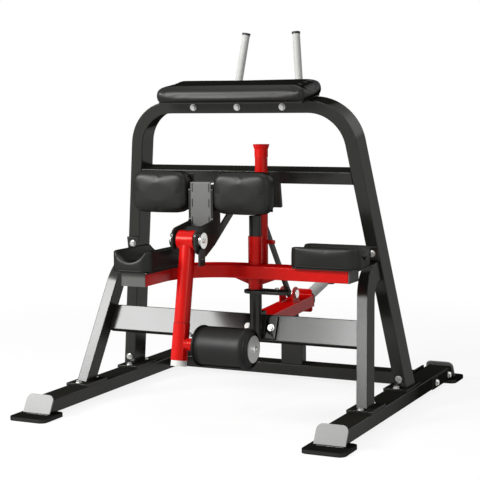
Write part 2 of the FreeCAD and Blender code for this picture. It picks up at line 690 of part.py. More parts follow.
def make_bushes():
    """Two plain bushes in the sleeve that run on the post, and the washer that the sleeve rides on."""
    washer = rod("WasherDisc", "sleeve_radius", "washer_thickness", "z",
                 (size.post_x, size.post_y, index_top + size.seat_gap))
    washer_hole = rod("WasherHole", "post_radius + running_gap", "washer_thickness + 2 * overrun", "z",
                      (size.post_x, size.post_y, index_top - size.overrun))
    bushes = [cut("ThrustWasher", washer, washer_hole)]
    for label, low in (("Low", sleeve_low), ("High", size.sleeve_top - size.bush_length)):
        ring = rod(f"Bush{label}Outer", "sleeve_bore", "bush_length", "z", (size.post_x, size.post_y, low))
        hole = rod(f"Bush{label}Hole", "post_radius + running_gap", "bush_length + 2 * overrun", "z",
                   (size.post_x, size.post_y, low - size.overrun))
        bushes.append(cut(f"Bush{label}", ring, hole))
    return group("SwivelBushes", *bushes)


node("swivel_bushes", make_bushes())


def beam_edges(half):
    """The swivel beam's plan about the post: straight to the right, round to the front on the left."""
    radius = size.arm_bend_radius
    bend_x = -size.left_arm_length
    right = size.right_arm_length
    low = -radius - size.left_arm_reach
    outer = radius + half
    inner = radius - half
    slant = cosine(45)
    centre = Vector(bend_x, -radius, 0)
    return [
        Part.LineSegment(Vector(right, half, 0), Vector(bend_x, half, 0)),
        Part.Arc(Vector(bend_x, half, 0), centre + Vector(-outer * slant, outer * slant, 0),
                 centre + Vector(-outer, 0, 0)),
        Part.LineSegment(centre + Vector(-outer, 0, 0), Vector(bend_x - outer, low, 0)),
        Part.LineSegment(Vector(bend_x - outer, low, 0), Vector(bend_x - inner, low, 0)),
        Part.LineSegment(Vector(bend_x - inner, low, 0), centre + Vector(-inner, 0, 0)),
        Part.Arc(centre + Vector(-inner, 0, 0), centre + Vector(-inner * slant, inner * slant, 0),
                 Vector(bend_x, -half, 0)),
        Part.LineSegment(Vector(bend_x, -half, 0), Vector(right, -half, 0)),
        Part.LineSegment(Vector(right, -half, 0), Vector(right, half, 0)),
    ]


swivel_place = (size.post_x, size.post_y, size.arm_low)
beam_solid = padded("BeamOuter", "XY_Plane", beam_edges(size.arm_width / 2), "arm_tall", swivel_place)
beam_hollow = padded("BeamHollow", "XY_Plane", beam_edges(size.arm_width / 2 - size.arm_wall),
                     "arm_tall - 2 * arm_wall", (size.post_x, size.post_y, size.arm_low + size.arm_wall))
sleeve_room = rod("SleeveRoom", "sleeve_radius", "2 * arm_tall", "z",
                  (size.post_x, size.post_y, size.arm_low - size.arm_tall / 2))
handle_y = size.post_y + size.handle_offset
handle_room = rod("HandleRoom", "handle_radius", "2 * arm_tall", "z",
                  (size.post_x, handle_y, size.arm_low - size.arm_tall / 2))
node("swivel_beam", cut("SwivelBeam", cut("BeamTube", beam_solid, beam_hollow), sleeve_room, handle_room))


def make_beam_caps():
    """Flat caps on the beam's two open ends, each with a round-headed bolt beneath."""
    right = box("RightCap", ("arm_cap_thickness", "arm_width", "arm_tall"),
                (size.post_x + size.right_arm_length, size.post_y - size.arm_width / 2, size.arm_low))
    low = size.post_y - size.arm_bend_radius - size.left_arm_reach
    left_x = size.post_x - size.left_arm_length - size.arm_bend_radius
    left = box("LeftCap", ("arm_width", "arm_cap_thickness", "arm_tall"),
               (left_x - size.arm_width / 2, low - size.arm_cap_thickness, size.arm_low))
    bolts = []
    for name, x, y in (
        ("Right", size.post_x + size.right_knee_shift, size.post_y),
        ("Left", left_x, size.post_y - size.arm_bend_radius - size.left_knee_shift),
    ):
        bolts.append(rod(f"Arm{name}Bolt", "arm_bolt_radius", "arm_bolt_height", "z",
                         (x, y, size.arm_low - size.arm_bolt_height)))
    return group("BeamEndCaps", right, left, *bolts)


node("beam_end_caps", make_beam_caps())


handle_post = cut(
    "HandlePost",
    join("HandleWeld",
         rod("HandleOuter", "handle_radius", "handle_top - arm_low", "z",
             (size.post_x, handle_y, size.arm_low)),
         rod("HandlePeg", "peg_radius", "handle_radius + peg_length", "x",
             (size.post_x, handle_y, size.peg_height))),
    rod("HandleHollow", "handle_radius - handle_wall", "handle_top - arm_low + 2 * overrun", "z",
        (size.post_x, handle_y, size.arm_low - size.overrun)),
)
node("swivel_handle", handle_post)


def make_grip():
    """A rubber grip over the handle's top, with a wider head."""
    neck = rod("GripNeck", "grip_radius", "grip_neck_top - grip_low", "z",
               (size.post_x, handle_y, size.grip_low))
    head = doc.addObject("Part::Cone", "GripHead")
    bind(head, Radius1="grip_radius", Radius2="grip_head_radius", Height="grip_head_height")
    head.Placement = MACHINE * FreeCAD.Placement(Vector(size.post_x, handle_y, size.grip_neck_top),
                                                 FreeCAD.Rotation())
    room = rod("GripRoom", "handle_radius", "handle_top - grip_low + overrun", "z",
               (size.post_x, handle_y, size.grip_low - size.overrun))
    return cut("SwivelGrip", join("GripBlank", neck, head), room)


node("swivel_grip", make_grip())

# Soft pads

def ring(half_x, half_y, corner, height):
    """A closed outline of four lines and four quarter arcs at a height."""
    edges = rounded([
        (-half_x, -half_y, corner), (half_x, -half_y, corner),
        (half_x, half_y, corner), (-half_x, half_y, corner),
    ])
    wire = Part.Wire([edge.toShape() for edge in edges])
    wire.translate(Vector(0, 0, height))
    return wire


# Shares of a cushion's thickness, and how far its side is drawn in there as a share of that thickness.
CUSHION_SHARES = ((0, 0.06), (0.22, 0), (0.62, 0.01), (0.86, 0.09), (1, 0.3))


def cushion(length, width, thickness, corner):
    """A cushion with a drawn-in foot, full sides and a soft shoulder, its foot on its own plane."""
    rings = []
    for height_share, inset_share in CUSHION_SHARES:
        inset = inset_share * thickness
        rings.append(ring(length / 2 - inset, width / 2 - inset, corner - inset / 2,
                          height_share * thickness))
    return Part.makeLoft(rings, True, False)


def make_top_pad():
    """The long pad on the arch, hollowed beneath for its board."""
    item = feature("TopPadCushion", cushion(size.top_pad_length, size.top_pad_depth, size.top_pad_thick,
                                            size.top_pad_corner))
    middle = Vector(0, size.top_pad_front + size.top_pad_depth / 2, top_of_arch)
    item.Placement = ARCH * FreeCAD.Placement(middle, FreeCAD.Rotation())
    return cut("TopPad", item, board_block("TopPadRoom"))


top_of_arch = size.arch_bend_height + size.arch_bend_radius + size.arch_width / 2


def board_block(name):
    """The board's block under the top pad."""
    inset = size.top_board_inset
    return box(name, ("top_pad_length - 2 * top_board_inset", "top_pad_depth - 2 * top_board_inset",
                      "top_board"),
               (-size.top_pad_length / 2 + inset, size.top_pad_front + inset, top_of_arch), ARCH)


top_pad_board = board_block("TopPadBoard")
node("top_pad", make_top_pad())

ear_half = size.ear_gap / 2
thigh_left = size.thigh_x - ear_half - size.ear_thickness
thigh_right = size.thigh_x + ear_half + size.ear_thickness
thigh_back = size.thigh_pad_front + size.thigh_pad_thick


def make_thigh_pad(name, centre_x):
    """An upright cushion that faces the front."""
    item = feature(name, cushion(size.thigh_pad_width, size.thigh_pad_tall, size.thigh_pad_thick,
                                 size.thigh_pad_corner))
    middle = Vector(centre_x, thigh_back, size.thigh_pad_low + size.thigh_pad_tall / 2)
    item.Placement = MACHINE * FreeCAD.Placement(middle, FreeCAD.Rotation(X_AXIS, 90))
    return item


pad_half = size.thigh_pad_width / 2 + size.thigh_pad_gap
node("thigh_pad_left", make_thigh_pad("ThighPadLeft", thigh_left - pad_half))
node("thigh_pad_right", make_thigh_pad("ThighPadRight", thigh_right + pad_half))


def make_thigh_boards():
    """Steel boards behind the thigh pads, welded to the side plates."""
    long = "thigh_pad_width - thigh_board_inset"
    tall = "thigh_pad_tall - 2 * thigh_board_inset"
    low = size.thigh_pad_low + size.thigh_board_inset
    left = box("ThighBoardLeft", (long, "thigh_board", tall),
               (thigh_left - size.thigh_pad_width + size.thigh_board_inset, thigh_back, low))
    right = box("ThighBoardRight", (long, "thigh_board", tall), (thigh_right, thigh_back, low))
    return left, right


node("pad_boards", group("PadBoards", top_pad_board, *make_thigh_boards()))


def trough_edges():
    """A knee pad's end outline: flat beneath, with a round trough along its top."""
    half = size.knee_width / 2
    trough = size.trough_width / 2
    tall = size.knee_tall
    return [
        Part.LineSegment(Vector(-half, 0, 0), Vector(half, 0, 0)),
        Part.LineSegment(Vector(half, 0, 0), Vector(half, tall, 0)),
        Part.LineSegment(Vector(half, tall, 0), Vector(trough, tall, 0)),
        Part.Arc(Vector(trough, tall, 0), Vector(0, tall - size.trough_depth, 0), Vector(-trough, tall, 0)),
        Part.LineSegment(Vector(-trough, tall, 0), Vector(-half, tall, 0)),
        Part.LineSegment(Vector(-half, tall, 0), Vector(-half, 0, 0)),
    ]


def make_knee_pad(name, x, y, turn):
    """A trough pad on its board, its trough along its length."""
    seat = MACHINE * FreeCAD.Placement(Vector(x, y, size.arm_low + size.arm_tall + size.knee_board),
                                       FreeCAD.Rotation(Z_AXIS, turn))
    block = padded(name + "Block", "XZ_Plane", trough_edges(), "knee_length", (0, 0, 0))
    block.Placement = seat * FreeCAD.Placement(Vector(0, -size.knee_length / 2, 0), FreeCAD.Rotation())
    soft = feature(name + "Soft", cushion(size.knee_width, size.knee_length, size.knee_tall,
                                          size.knee_corner))
    soft.Placement = seat
    return common(name, block, soft)


left_knee = (size.post_x - size.left_arm_length - size.arm_bend_radius,
             size.post_y - size.arm_bend_radius - size.left_knee_shift)
right_knee = (size.post_x + size.right_knee_shift, size.post_y)
node("knee_pad_left", make_knee_pad("KneePadLeft", *left_knee, 0))
node("knee_pad_right", make_knee_pad("KneePadRight", *right_knee, 90))


def make_knee_boards():
    """Boards under the two knee pads, on the beam."""
    wide = "knee_width - 2 * knee_board_inset"
    long = "knee_length - 2 * knee_board_inset"
    half_wide = size.knee_width / 2 - size.knee_board_inset
    half_long = size.knee_length / 2 - size.knee_board_inset
    top = size.arm_low + size.arm_tall
    left = box("KneeBoardLeft", (wide, long, "knee_board"),
               (left_knee[0] - half_wide, left_knee[1] - half_long, top))
    right = box("KneeBoardRight", (long, wide, "knee_board"),
                (right_knee[0] - half_long, right_knee[1] - half_wide, top))
    return group("KneePadBoards", left, right)


node("knee_pad_boards", make_knee_boards())


# Handles behind the top pad

def handle_path():
    """The right handle's centre line: back from the arch, then up and inwards."""
    arch_back = size.arch_front + size.arch_depth / cosine(size.arch_lean)
    root_y = arch_back - size.handle_root_height * tangent(size.arch_lean)
    root = Vector(size.handle_low_x, root_y, size.handle_root_height)
    knee = Vector(size.handle_low_x, size.handle_knee_y, size.handle_knee_z)
    top = Vector(size.handle_top_x, size.handle_top_y, size.handle_top_z)
    return root, knee, top


def bent_tube(root, knee, top, radius, bend):
    """A round bar along two straight runs joined by one tangent arc."""
    back = (root - knee).normalize()
    ahead = (top - knee).normalize()
    half = back.getAngle(ahead) / 2
    reach = bend / math.tan(half)
    middle = knee + (back + ahead).normalize() * (bend / math.sin(half) - bend)
    first = knee + back * reach
    second = knee + ahead * reach
    path = Part.Wire([
        Part.LineSegment(root, first).toShape(), Part.Arc(first, middle, second).toShape(),
        Part.LineSegment(second, top).toShape(),
    ])
    circle = Part.Wire([Part.Circle(root, knee - root, radius).toShape()])
    return path.makePipeShell([circle], True, False)


root, knee, top = handle_path()
behind_root = (root - knee).normalize() * size.overrun
beyond_top = (top - knee).normalize() * size.overrun
handle_outer = bent_tube(root + behind_root, knee, top, size.handle_bar_radius, size.handle_bend)
handle_inner = bent_tube(root + behind_root, knee, top + beyond_top,
                         size.handle_bar_radius - size.handle_bar_wall, size.handle_bend)
handle_blank = feature("HandleBlank", handle_outer.cut(handle_inner))
handle_blank.Placement = MACHINE
in_front = box("InFrontOfHandle", ("4 * arch_bend_place", "rail_half_length", "2 * rail_half_length"),
               (-2 * size.arch_bend_place, size.arch_depth - size.rail_half_length, 0), ARCH)
right_handle = node("handle_right", cut("HandleRight", handle_blank, in_front))
node("handle_left", mirrored("HandleLeft", right_handle))

cap_turn = FreeCAD.Rotation(Z_AXIS, (top - knee).normalize())
right_handle_cap = doc.addObject("Part::Cylinder", "HandleCapRight")
bind(right_handle_cap, Radius="handle_cap_radius", Height="handle_cap_height")
right_handle_cap.Placement = MACHINE * FreeCAD.Placement(top, cap_turn)
node("handle_caps", group("HandleCaps", right_handle_cap, mirrored("HandleCapLeft", right_handle_cap)))


# Side plates of the lever's pivot

def under_crossbar(v):
    """A point (y, z) on the crossbar's underside, v behind its front face."""
    low = size.crossbar_height
    y = size.arch_front - low * sine(size.arch_lean) + v * cosine(size.arch_lean)
    z = low * cosine(size.arch_lean) + v * sine(size.arch_lean)
    return y, z


# Corners of a side plate as shares of the ear's radius, from the lever's pivot, with round corners.
EAR_SHARES = ((-1, -1, 0.9), (1.0, -1.53, 0.28), (2.79, -0.67, 0.4), (6.3, 1.56, 0), (10.0, 3.91, 0))
NECK_SHARES = ((2.44, 4.42, 0.2), (2.44, 1.5, 0.3), (-1, 1, 0.9))
WINDOW_SHARES = ((3.93, 0.93, 0.16), (3.93, 3.72, 0.16), (8.33, 3.72, 0.16))


def ear_points(shares):
    """Outline corners in millimetres from shares of the ear's radius."""
    unit = size.ear_radius
    return [(size.pivot_y + u * unit, size.pivot_z + v * unit, r * unit) for u, v, r in shares]


def make_lug():
    """A small drilled lug below the right-hand plate's ear, on its outer face."""
    blank = box("LugBlank", ("lug_thickness", "lug_width", "lug_top - lug_low"),
                (thigh_right, size.pivot_y - size.lug_width / 2, size.lug_low))
    hole = rod("LugHole", "lug_hole", "4 * lug_thickness", "x",
               (thigh_right - size.lug_thickness, size.pivot_y,
                size.lug_low + size.lug_width / 2 + size.lug_hole))
    return cut("StopLug", blank, hole)


def make_side_plate(name, x):
    """A plate from the lever's pivot to the underside of the crossbar, with a three-cornered window."""
    rear_y, rear_z = under_crossbar(size.arch_depth / 2)
    front_y, front_z = under_crossbar(0)
    under = [(rear_y, rear_z, 0), (front_y, front_z, 0)]
    corners = ear_points(EAR_SHARES) + under + ear_points(NECK_SHARES)
    sheet_plate = padded(name + "Sheet", "YZ_Plane", rounded(corners), "ear_thickness", (x, 0, 0))
    window = padded(name + "Window", "YZ_Plane", rounded(ear_points(WINDOW_SHARES)), "4 * ear_thickness",
                    (x - size.ear_thickness, 0, 0))
    bore = rod(name + "Bore", "shaft_radius", "4 * ear_thickness", "x",
               (x - size.ear_thickness, size.pivot_y, size.pivot_z))
    above = box(name + "Above", ("8 * ear_thickness", "8 * ear_radius", "8 * ear_radius"),
                (x - 4 * size.ear_thickness, 0, size.crossbar_height), ARCH)
    return cut(name, sheet_plate, window, bore, above)


node("side_plate_left", make_side_plate("SidePlateLeft", thigh_left))
node("side_plate_right", join("SidePlateRightWeld", make_side_plate("SidePlateRight",
                                                                    thigh_right - size.ear_thickness),
                              make_lug()))


def make_cover():
    """A sheet between the side plates with a bent return at its top and bottom."""
    inner = size.thigh_x - ear_half
    front = size.cover_front
    low = size.cover_low
    face = box("CoverFace", ("ear_gap", "cover_wall", "cover_tall"), (inner, front, low))
    bottom = box("CoverBottom", ("ear_gap", "cover_low_return", "cover_wall"), (inner, front, low))
    top_return = box("CoverTop", ("ear_gap", "cover_return", "cover_wall"),
                     (inner, front, low + size.cover_tall - size.cover_wall))
    return join("ThighCover", face, bottom, top_return)


node("thigh_cover", make_cover())

# Lever pivot

node("pivot_shaft", join(
    "PivotShaft",
    rod("PivotBar", "shaft_radius", "ear_gap + 2 * ear_thickness", "x",
        (thigh_left, size.pivot_y, size.pivot_z)),
    rod("PivotCapRight", "pivot_cap_radius", "pivot_cap_thickness", "x",
        (thigh_right, size.pivot_y, size.pivot_z)),
    rod("PivotCapLeft", "pivot_cap_radius", "pivot_cap_thickness", "x",
        (thigh_left - size.pivot_cap_thickness, size.pivot_y, size.pivot_z)),
))


def eye_bar(name, frame_at, x, width_name, reach_name, reach, eye_name, eye):
    """A flat bar from a frame's origin out along its Y, round at its far end."""
    bar = box(name + "Bar", (width_name, reach_name, "2 * " + eye_name), (x, 0, -eye), frame_at)
    end = rod(name + "Eye", eye_name, width_name, "x", (x, reach, 0), frame_at)
    return join(name, bar, end)


hub_left = size.thigh_x - size.hub_width / 2


def make_hub():
    """The lever's hub with two crank cheeks, bored for its bearings and flatted where the rod swings."""
    barrel = rod("HubBarrel", "hub_radius", "hub_width", "x", (hub_left, 0, 0), LEVER)
    cheeks = []
    half_gap = size.crank_gap / 2
    for label, x in (("Left", size.thigh_x - half_gap - size.crank_cheek),
                     ("Right", size.thigh_x + half_gap)):
        cheeks.append(eye_bar(f"CrankCheek{label}", CRANK, x, "crank_cheek", "crank_radius",
                              size.crank_radius, "crank_eye", size.crank_eye))
    bore = rod("HubBore", "hub_bore", "hub_width + 2 * overrun", "x", (hub_left - size.overrun, 0, 0),
               LEVER)
    seats = []
    for label, x in (("Left", hub_left - size.overrun),
                     ("Right", hub_left + size.hub_width - size.bearing_depth)):
        seats.append(rod(f"BearingSeat{label}", "bearing_radius", "bearing_depth + overrun", "x", (x, 0, 0),
                         LEVER))
    flat_turn = FreeCAD.Rotation(X_AXIS, size.hub_flat_angle - 90)
    flat_frame = CRANK * FreeCAD.Placement(Vector(0, 0, 0), flat_turn)
    flat = box("HubFlat", ("crank_gap", "4 * hub_radius", "2 * hub_radius"),
               (size.thigh_x - half_gap, -2 * size.hub_radius, size.hub_flat), flat_frame)
    pin = rod("CrankPin", "pin_radius", "crank_gap + 2 * crank_cheek", "x",
              (size.thigh_x - size.crank_gap / 2 - size.crank_cheek, size.crank_radius, 0), CRANK)
    eye_room = rod("RodEyeRoom", "rod_eye + fork_slack", "crank_gap", "x",
                   (size.thigh_x - half_gap, size.crank_radius, 0), CRANK)
    return join("LeverHub", cut("HubBored", join("HubWeld", barrel, *cheeks), bore, *seats, flat, eye_room),
                pin)


node("lever_hub", make_hub())


def make_bearings():
    """Two flanged bushes in the hub that run on the pivot shaft and space the hub from the plates."""
    rings = []
    flange = (size.ear_gap - size.hub_width) / 2 - size.seat_gap
    for label, x in (("Left", hub_left - flange),
                     ("Right", hub_left + size.hub_width - size.bearing_depth)):
        ring_body = rod(f"Bearing{label}Outer", "bearing_radius",
                        "bearing_depth + ear_gap / 2 - hub_width / 2 - seat_gap",
                        "x", (x, 0, 0), LEVER)
        hole = rod(f"Bearing{label}Hole", "shaft_radius + running_gap", "2 * hub_width", "x",
                   (x - size.hub_width / 2, 0, 0), LEVER)
        rings.append(cut(f"Bearing{label}", ring_body, hole))
    return group("LeverBearings", *rings)


node("lever_bearings", make_bearings())

hub_room = rod("HubRoom", "hub_radius", "2 * hub_width", "x", (size.thigh_x - size.hub_width, 0, 0), LEVER)
tube_low = -size.lever_tube_length
lever_tube_solid = rod("LeverTubeOuter", "lever_tube_radius", "lever_tube_length", "z",
                       (size.thigh_x, 0, tube_low), LEVER)
lever_tube_hollow = rod("LeverTubeHollow", "lever_tube_radius - lever_tube_wall",
                        "lever_tube_length + overrun", "z",
                        (size.thigh_x, 0, tube_low + 2 * size.lever_tube_wall), LEVER)
spindle_low = tube_low - size.seat_gap - size.leg_sleeve_length - size.seat_gap
spindle = rod("LeverSpindle", "spindle_radius", "leg_sleeve_length + 2 * seat_gap + 4 * lever_tube_wall",
              "z", (size.thigh_x, 0, spindle_low), LEVER)
node("lever_tube", join("LeverTube", cut("LeverTubeShell", lever_tube_solid, lever_tube_hollow, hub_room),
                        spindle))
node("leg_end_cap", rod("LegEndCap", "leg_cap_radius", "leg_cap_height", "z",
                        (size.thigh_x, 0, spindle_low - size.leg_cap_height), LEVER))


# Turning leg sleeve with the roller

sleeve_bottom = spindle_low + size.seat_gap
pin_hole_place = (size.thigh_x, 0, -size.sleeve_pin_drop)


def make_leg_sleeve():
    """A thick sleeve on the spindle, with a boss for its spring pin and a stub round the roller's axle."""
    outer = rod("LegSleeveOuter", "leg_sleeve_radius", "leg_sleeve_length", "z",
                (size.thigh_x, 0, sleeve_bottom), LEVER)
    boss = rod("LegSleeveBoss", "sleeve_knob_radius", "leg_sleeve_radius + sleeve_house", "y",
               pin_hole_place, LEVER)
    stub = rod("LegSleeveStub", "stub_radius", "roller_left - thigh_x - axle_collar - 2 * seat_gap", "x",
               (size.thigh_x, 0, -size.roller_drop), LEVER)
    bore = rod("LegSleeveBore", "spindle_radius + running_gap", "leg_sleeve_length + 2 * overrun", "z",
               (size.thigh_x, 0, sleeve_bottom - size.overrun), LEVER)
    pin_bore = rod("SleevePinBore", "sleeve_pin_radius + running_gap", "leg_sleeve_radius + 2 * overrun",
                   "y", pin_hole_place, LEVER)
    axle = rod("AxleRoom", "axle_radius", "roller_left - thigh_x", "x",
               (size.thigh_x, 0, -size.roller_drop), LEVER)
    return cut("LegSleeve", join("LegSleeveWeld", outer, boss, stub), bore, pin_bore, axle)


node("leg_sleeve", make_leg_sleeve())
node("sleeve_pin", join(
    "SleevePin",
    rod("SleevePinShank", "sleeve_pin_radius", "leg_sleeve_radius + sleeve_house - spindle_radius", "y",
        (size.thigh_x, size.spindle_radius + size.seat_gap, -size.sleeve_pin_drop), LEVER),
    rod("SleevePinKnob", "sleeve_knob_radius", "sleeve_knob_length", "y",
        (size.thigh_x, size.leg_sleeve_radius + size.sleeve_house + size.seat_gap,
         -size.sleeve_pin_drop), LEVER),
))

axle_start = size.thigh_x + size.spindle_radius + size.seat_gap
collar_x = size.roller_left - size.seat_gap - size.axle_collar
axle_end = size.roller_left + size.roller_length + size.seat_gap


def make_axle():
    """A bar from the sleeve's stub to the roller's far end, with a collar that the roller runs against."""
    bar = doc.addObject("Part::Cylinder", "AxleBar")
    bind(bar, Radius="axle_radius", Height="roller_left + roller_length - thigh_x - spindle_radius")
    bar.Placement = LEVER * FreeCAD.Placement(Vector(axle_start, 0, -size.roller_drop), ALONG["x"])
    collar = rod("AxleCollar", "axle_collar_radius", "axle_collar", "x", (collar_x, 0, -size.roller_drop),
                 LEVER)
    bore = rod("SpindleSpace", "spindle_radius + running_gap", "leg_sleeve_length", "z",
               (size.thigh_x, 0, sleeve_bottom), LEVER)
    return cut("RollerAxle", join("AxleWeld", bar, collar), bore)


node("roller_axle", make_axle())
node("roller_end_disc", rod("RollerEndDisc", "end_disc_radius", "end_disc_thickness", "x",
                            (axle_end, 0, -size.roller_drop), LEVER))


def make_foam():
    """The foam roller: a round body with rounded ends on its core."""
    radius = size.roller_radius
    corner = size.roller_corner
    long = size.roller_length
    core = size.roller_core_radius
    slant = cosine(45)
    points = [
        Part.LineSegment(Vector(0, core, 0), Vector(0, radius - corner, 0)),
        Part.Arc(Vector(0, radius - corner, 0),
                 Vector(corner - corner * slant, radius - corner + corner * slant, 0),
                 Vector(corner, radius, 0)),
        Part.LineSegment(Vector(corner, radius, 0), Vector(long - corner, radius, 0)),
        Part.Arc(Vector(long - corner, radius, 0),
                 Vector(long - corner + corner * slant, radius - corner + corner * slant, 0),
                 Vector(long, radius - corner, 0)),
        Part.LineSegment(Vector(long, radius - corner, 0), Vector(long, core, 0)),
        Part.LineSegment(Vector(long, core, 0), Vector(0, core, 0)),
    ]
    body = doc.addObject("PartDesign::Body", "RollerFoam")
    sketch = body.newObject("Sketcher::SketchObject", "RollerFoamSketch")
    support = [item for item in body.Origin.OriginFeatures if item.Role == "XY_Plane"][0]
    sketch.AttachmentSupport = [(support, "")]
    sketch.MapMode = "FlatFace"
    sketch.addGeometry(points, False)
    turn = body.newObject("PartDesign::Revolution", "RollerFoamTurn")
    turn.Profile = sketch
    turn.ReferenceAxis = (sketch, ["H_Axis"])
    turn.Angle = 360
    body.Tip = turn
    body.Placement = LEVER * FreeCAD.Placement(Vector(size.roller_left, 0, -size.roller_drop),
                                               FreeCAD.Rotation())
    return body


node("roller_foam", make_foam())
node("roller_core", cut(
    "RollerCore",
    rod("CoreOuter", "roller_core_radius", "roller_length", "x", (size.roller_left, 0, -size.roller_drop),
        LEVER),
    rod("CoreHole", "axle_radius + running_gap", "roller_length + 2 * overrun", "x",
        (size.roller_left - size.overrun, 0, -size.roller_drop), LEVER),
))

# Linkage

crank_pin_at = CRANK.multVec(Vector(0, size.crank_radius, 0))
input_pin_at = INPUT_ARM.multVec(Vector(0, size.input_radius, 0))
output_pin_at = OUTPUT_ARM.multVec(Vector(0, size.output_radius, 0))
clevis_at = WEIGHT_ARM.multVec(Vector(0, size.clevis_y, size.clevis_z))


def link_bar(name, start, finish, x, thick, tall_name, tall, eye_name, eye_thick_name, hole_name):
    """A flat bar between two pins with a round eye at each, bored at the first."""
    reach = finish - start
    angle = math.degrees(math.atan2(reach.z, reach.y))
    place = FreeCAD.Placement(Vector(x, start.y, start.z), FreeCAD.Rotation(X_AXIS, angle))
    length = math.hypot(reach.y, reach.z)
    half = thick / 2
    bar = doc.addObject("Part::Box", name + "Bar")
    bind(bar, Length=eye_thick_name, Height=tall_name)
    bar.Width = length
    bar.Placement = place * FreeCAD.Placement(Vector(-half, 0, -tall / 2), FreeCAD.Rotation())
    eyes = []
    for label, along in (("Near", 0), ("Far", length)):
        eye = doc.addObject("Part::Cylinder", f"{name}{label}Eye")
        bind(eye, Radius=eye_name, Height=eye_thick_name)
        eye.Placement = place * FreeCAD.Placement(Vector(-half, along, 0), ALONG["x"])
        eyes.append(eye)
    hole = doc.addObject("Part::Cylinder", name + "Hole")
    bind(hole, Radius=hole_name + " + running_gap", Height="4 * " + eye_thick_name)
    hole.Placement = place * FreeCAD.Placement(Vector(-2 * thick, 0, 0), ALONG["x"])
    return cut(name, join(name + "Weld", bar, *eyes), hole)


node("push_rod", link_bar("PushRod", crank_pin_at, input_pin_at, size.thigh_x, size.rod_bar,
                          "rod_tall", size.rod_tall, "rod_eye", "rod_bar", "pin_radius"))
node("lift_link", link_bar("LiftLink", clevis_at, output_pin_at, size.arm_place, size.link_thick,
                           "link_wide", size.link_wide, "link_eye", "link_thick", "clevis_pin_radius"))


def make_bellcrank():
    """A hub with a pair of input plates and a pair of output plates, each pair round a bar's eye."""
    rod_room = size.rod_bar / 2 + size.fork_slack
    link_room = size.link_thick / 2 + size.fork_slack
    left_x = size.thigh_x - rod_room - size.crank2_plate
    right_x = size.arm_place + link_room + size.crank2_plate
    hub = doc.addObject("Part::Cylinder", "BellcrankHub")
    bind(hub, Radius="crank2_hub",
         Height="arm_place - thigh_x + link_thick / 2 + rod_bar / 2 + 2 * fork_slack + 2 * crank2_plate")
    hub.Placement = INPUT_ARM * FreeCAD.Placement(Vector(left_x, 0, 0), ALONG["x"])
    parts = [hub]
    for label, x in (("InLeft", left_x), ("InRight", size.thigh_x + rod_room)):
        parts.append(eye_bar("Bellcrank" + label, INPUT_ARM, x, "crank2_plate", "input_radius",
                             size.input_radius, "crank2_eye", size.crank2_eye))
    for label, x in (("OutLeft", size.arm_place - link_room - size.crank2_plate),
                     ("OutRight", size.arm_place + link_room)):
        parts.append(eye_bar("Bellcrank" + label, OUTPUT_ARM, x, "crank2_plate", "output_radius",
                             size.output_radius, "crank2_eye", size.crank2_eye))
    bore = rod("BellcrankBore", "crank2_shaft + running_gap", "8 * crank2_hub", "x",
               (size.thigh_x - 4 * size.crank2_hub, 0, 0), INPUT_ARM)
    return cut("Bellcrank", join("BellcrankWeld", *parts), bore), left_x, right_x


bellcrank, bellcrank_left, bellcrank_right = make_bellcrank()
node("bellcrank", bellcrank)


def make_bellcrank_hangers():
    """Two plates down from the crossbar's underside that carry the bellcrank's shaft."""
    plates = []
    for label, x in (
        ("Left", bellcrank_left - size.seat_gap - size.hanger_plate),
        ("Right", bellcrank_right + size.seat_gap),
    ):
        top_block = box(f"Hanger{label}Bar", ("hanger_plate", "2 * hanger_half_width",
                                              "crossbar_height - crank2_z"),
                        (x, size.crank2_y - size.hanger_half_width, size.crank2_z))
        end = rod(f"Hanger{label}End", "hanger_half_width", "hanger_plate", "x",
                  (x, size.crank2_y, size.crank2_z))
        above = box(f"Hanger{label}Above", ("4 * hanger_plate", "8 * hanger_half_width",
                                            "8 * hanger_half_width"),
                    (x - size.hanger_plate, -4 * size.hanger_half_width, size.crossbar_height), ARCH)
        plates.append(cut(f"Hanger{label}", join(f"Hanger{label}Weld", top_block, end), above))
    shaft = doc.addObject("Part::Cylinder", "BellcrankShaft")
    bind(shaft, Radius="crank2_shaft")
    shaft.Height = bellcrank_right - bellcrank_left + 2 * size.seat_gap
    shaft_place = Vector(bellcrank_left - size.seat_gap, size.crank2_y, size.crank2_z)
    shaft.Placement = MACHINE * FreeCAD.Placement(shaft_place, ALONG["x"])
    return join("BellcrankHangers", shaft, *plates)


node("bellcrank_hangers", make_bellcrank_hangers())

# Weight arm

arm_left = size.arm_place - size.weight_arm_width / 2
arm_half_tall = size.weight_arm_tall / 2


def make_weight_arm():
    """The hollow arm with its cross tube at the front, clevis ears on top and an end plate at the rear."""
    length = size.weight_arm_nose + weight_arm_length
    outer = box("WeightArmOuter", ("weight_arm_width", length, "weight_arm_tall"),
                (arm_left, -size.weight_arm_nose, -arm_half_tall), WEIGHT_ARM)
    hollow = box("WeightArmHollow",
                 ("weight_arm_width - 2 * tube_wall", length + 2 * size.overrun,
                  "weight_arm_tall - 2 * tube_wall"),
                 (arm_left + size.tube_wall, -size.weight_arm_nose - size.overrun,
                  size.tube_wall - arm_half_tall),
                 WEIGHT_ARM)
    tube = rod("WeightArmTube", "roller_core_radius", "weight_arm_width", "x", (arm_left, 0, 0), WEIGHT_ARM)
    bore = rod("WeightArmBore", "shaft_radius + running_gap", "weight_arm_width + 2 * overrun", "x",
               (arm_left - size.overrun, 0, 0), WEIGHT_ARM)
    return cut("WeightArmTubes", join("WeightArmWeld", cut("WeightArmShell", outer, hollow), tube), bore)


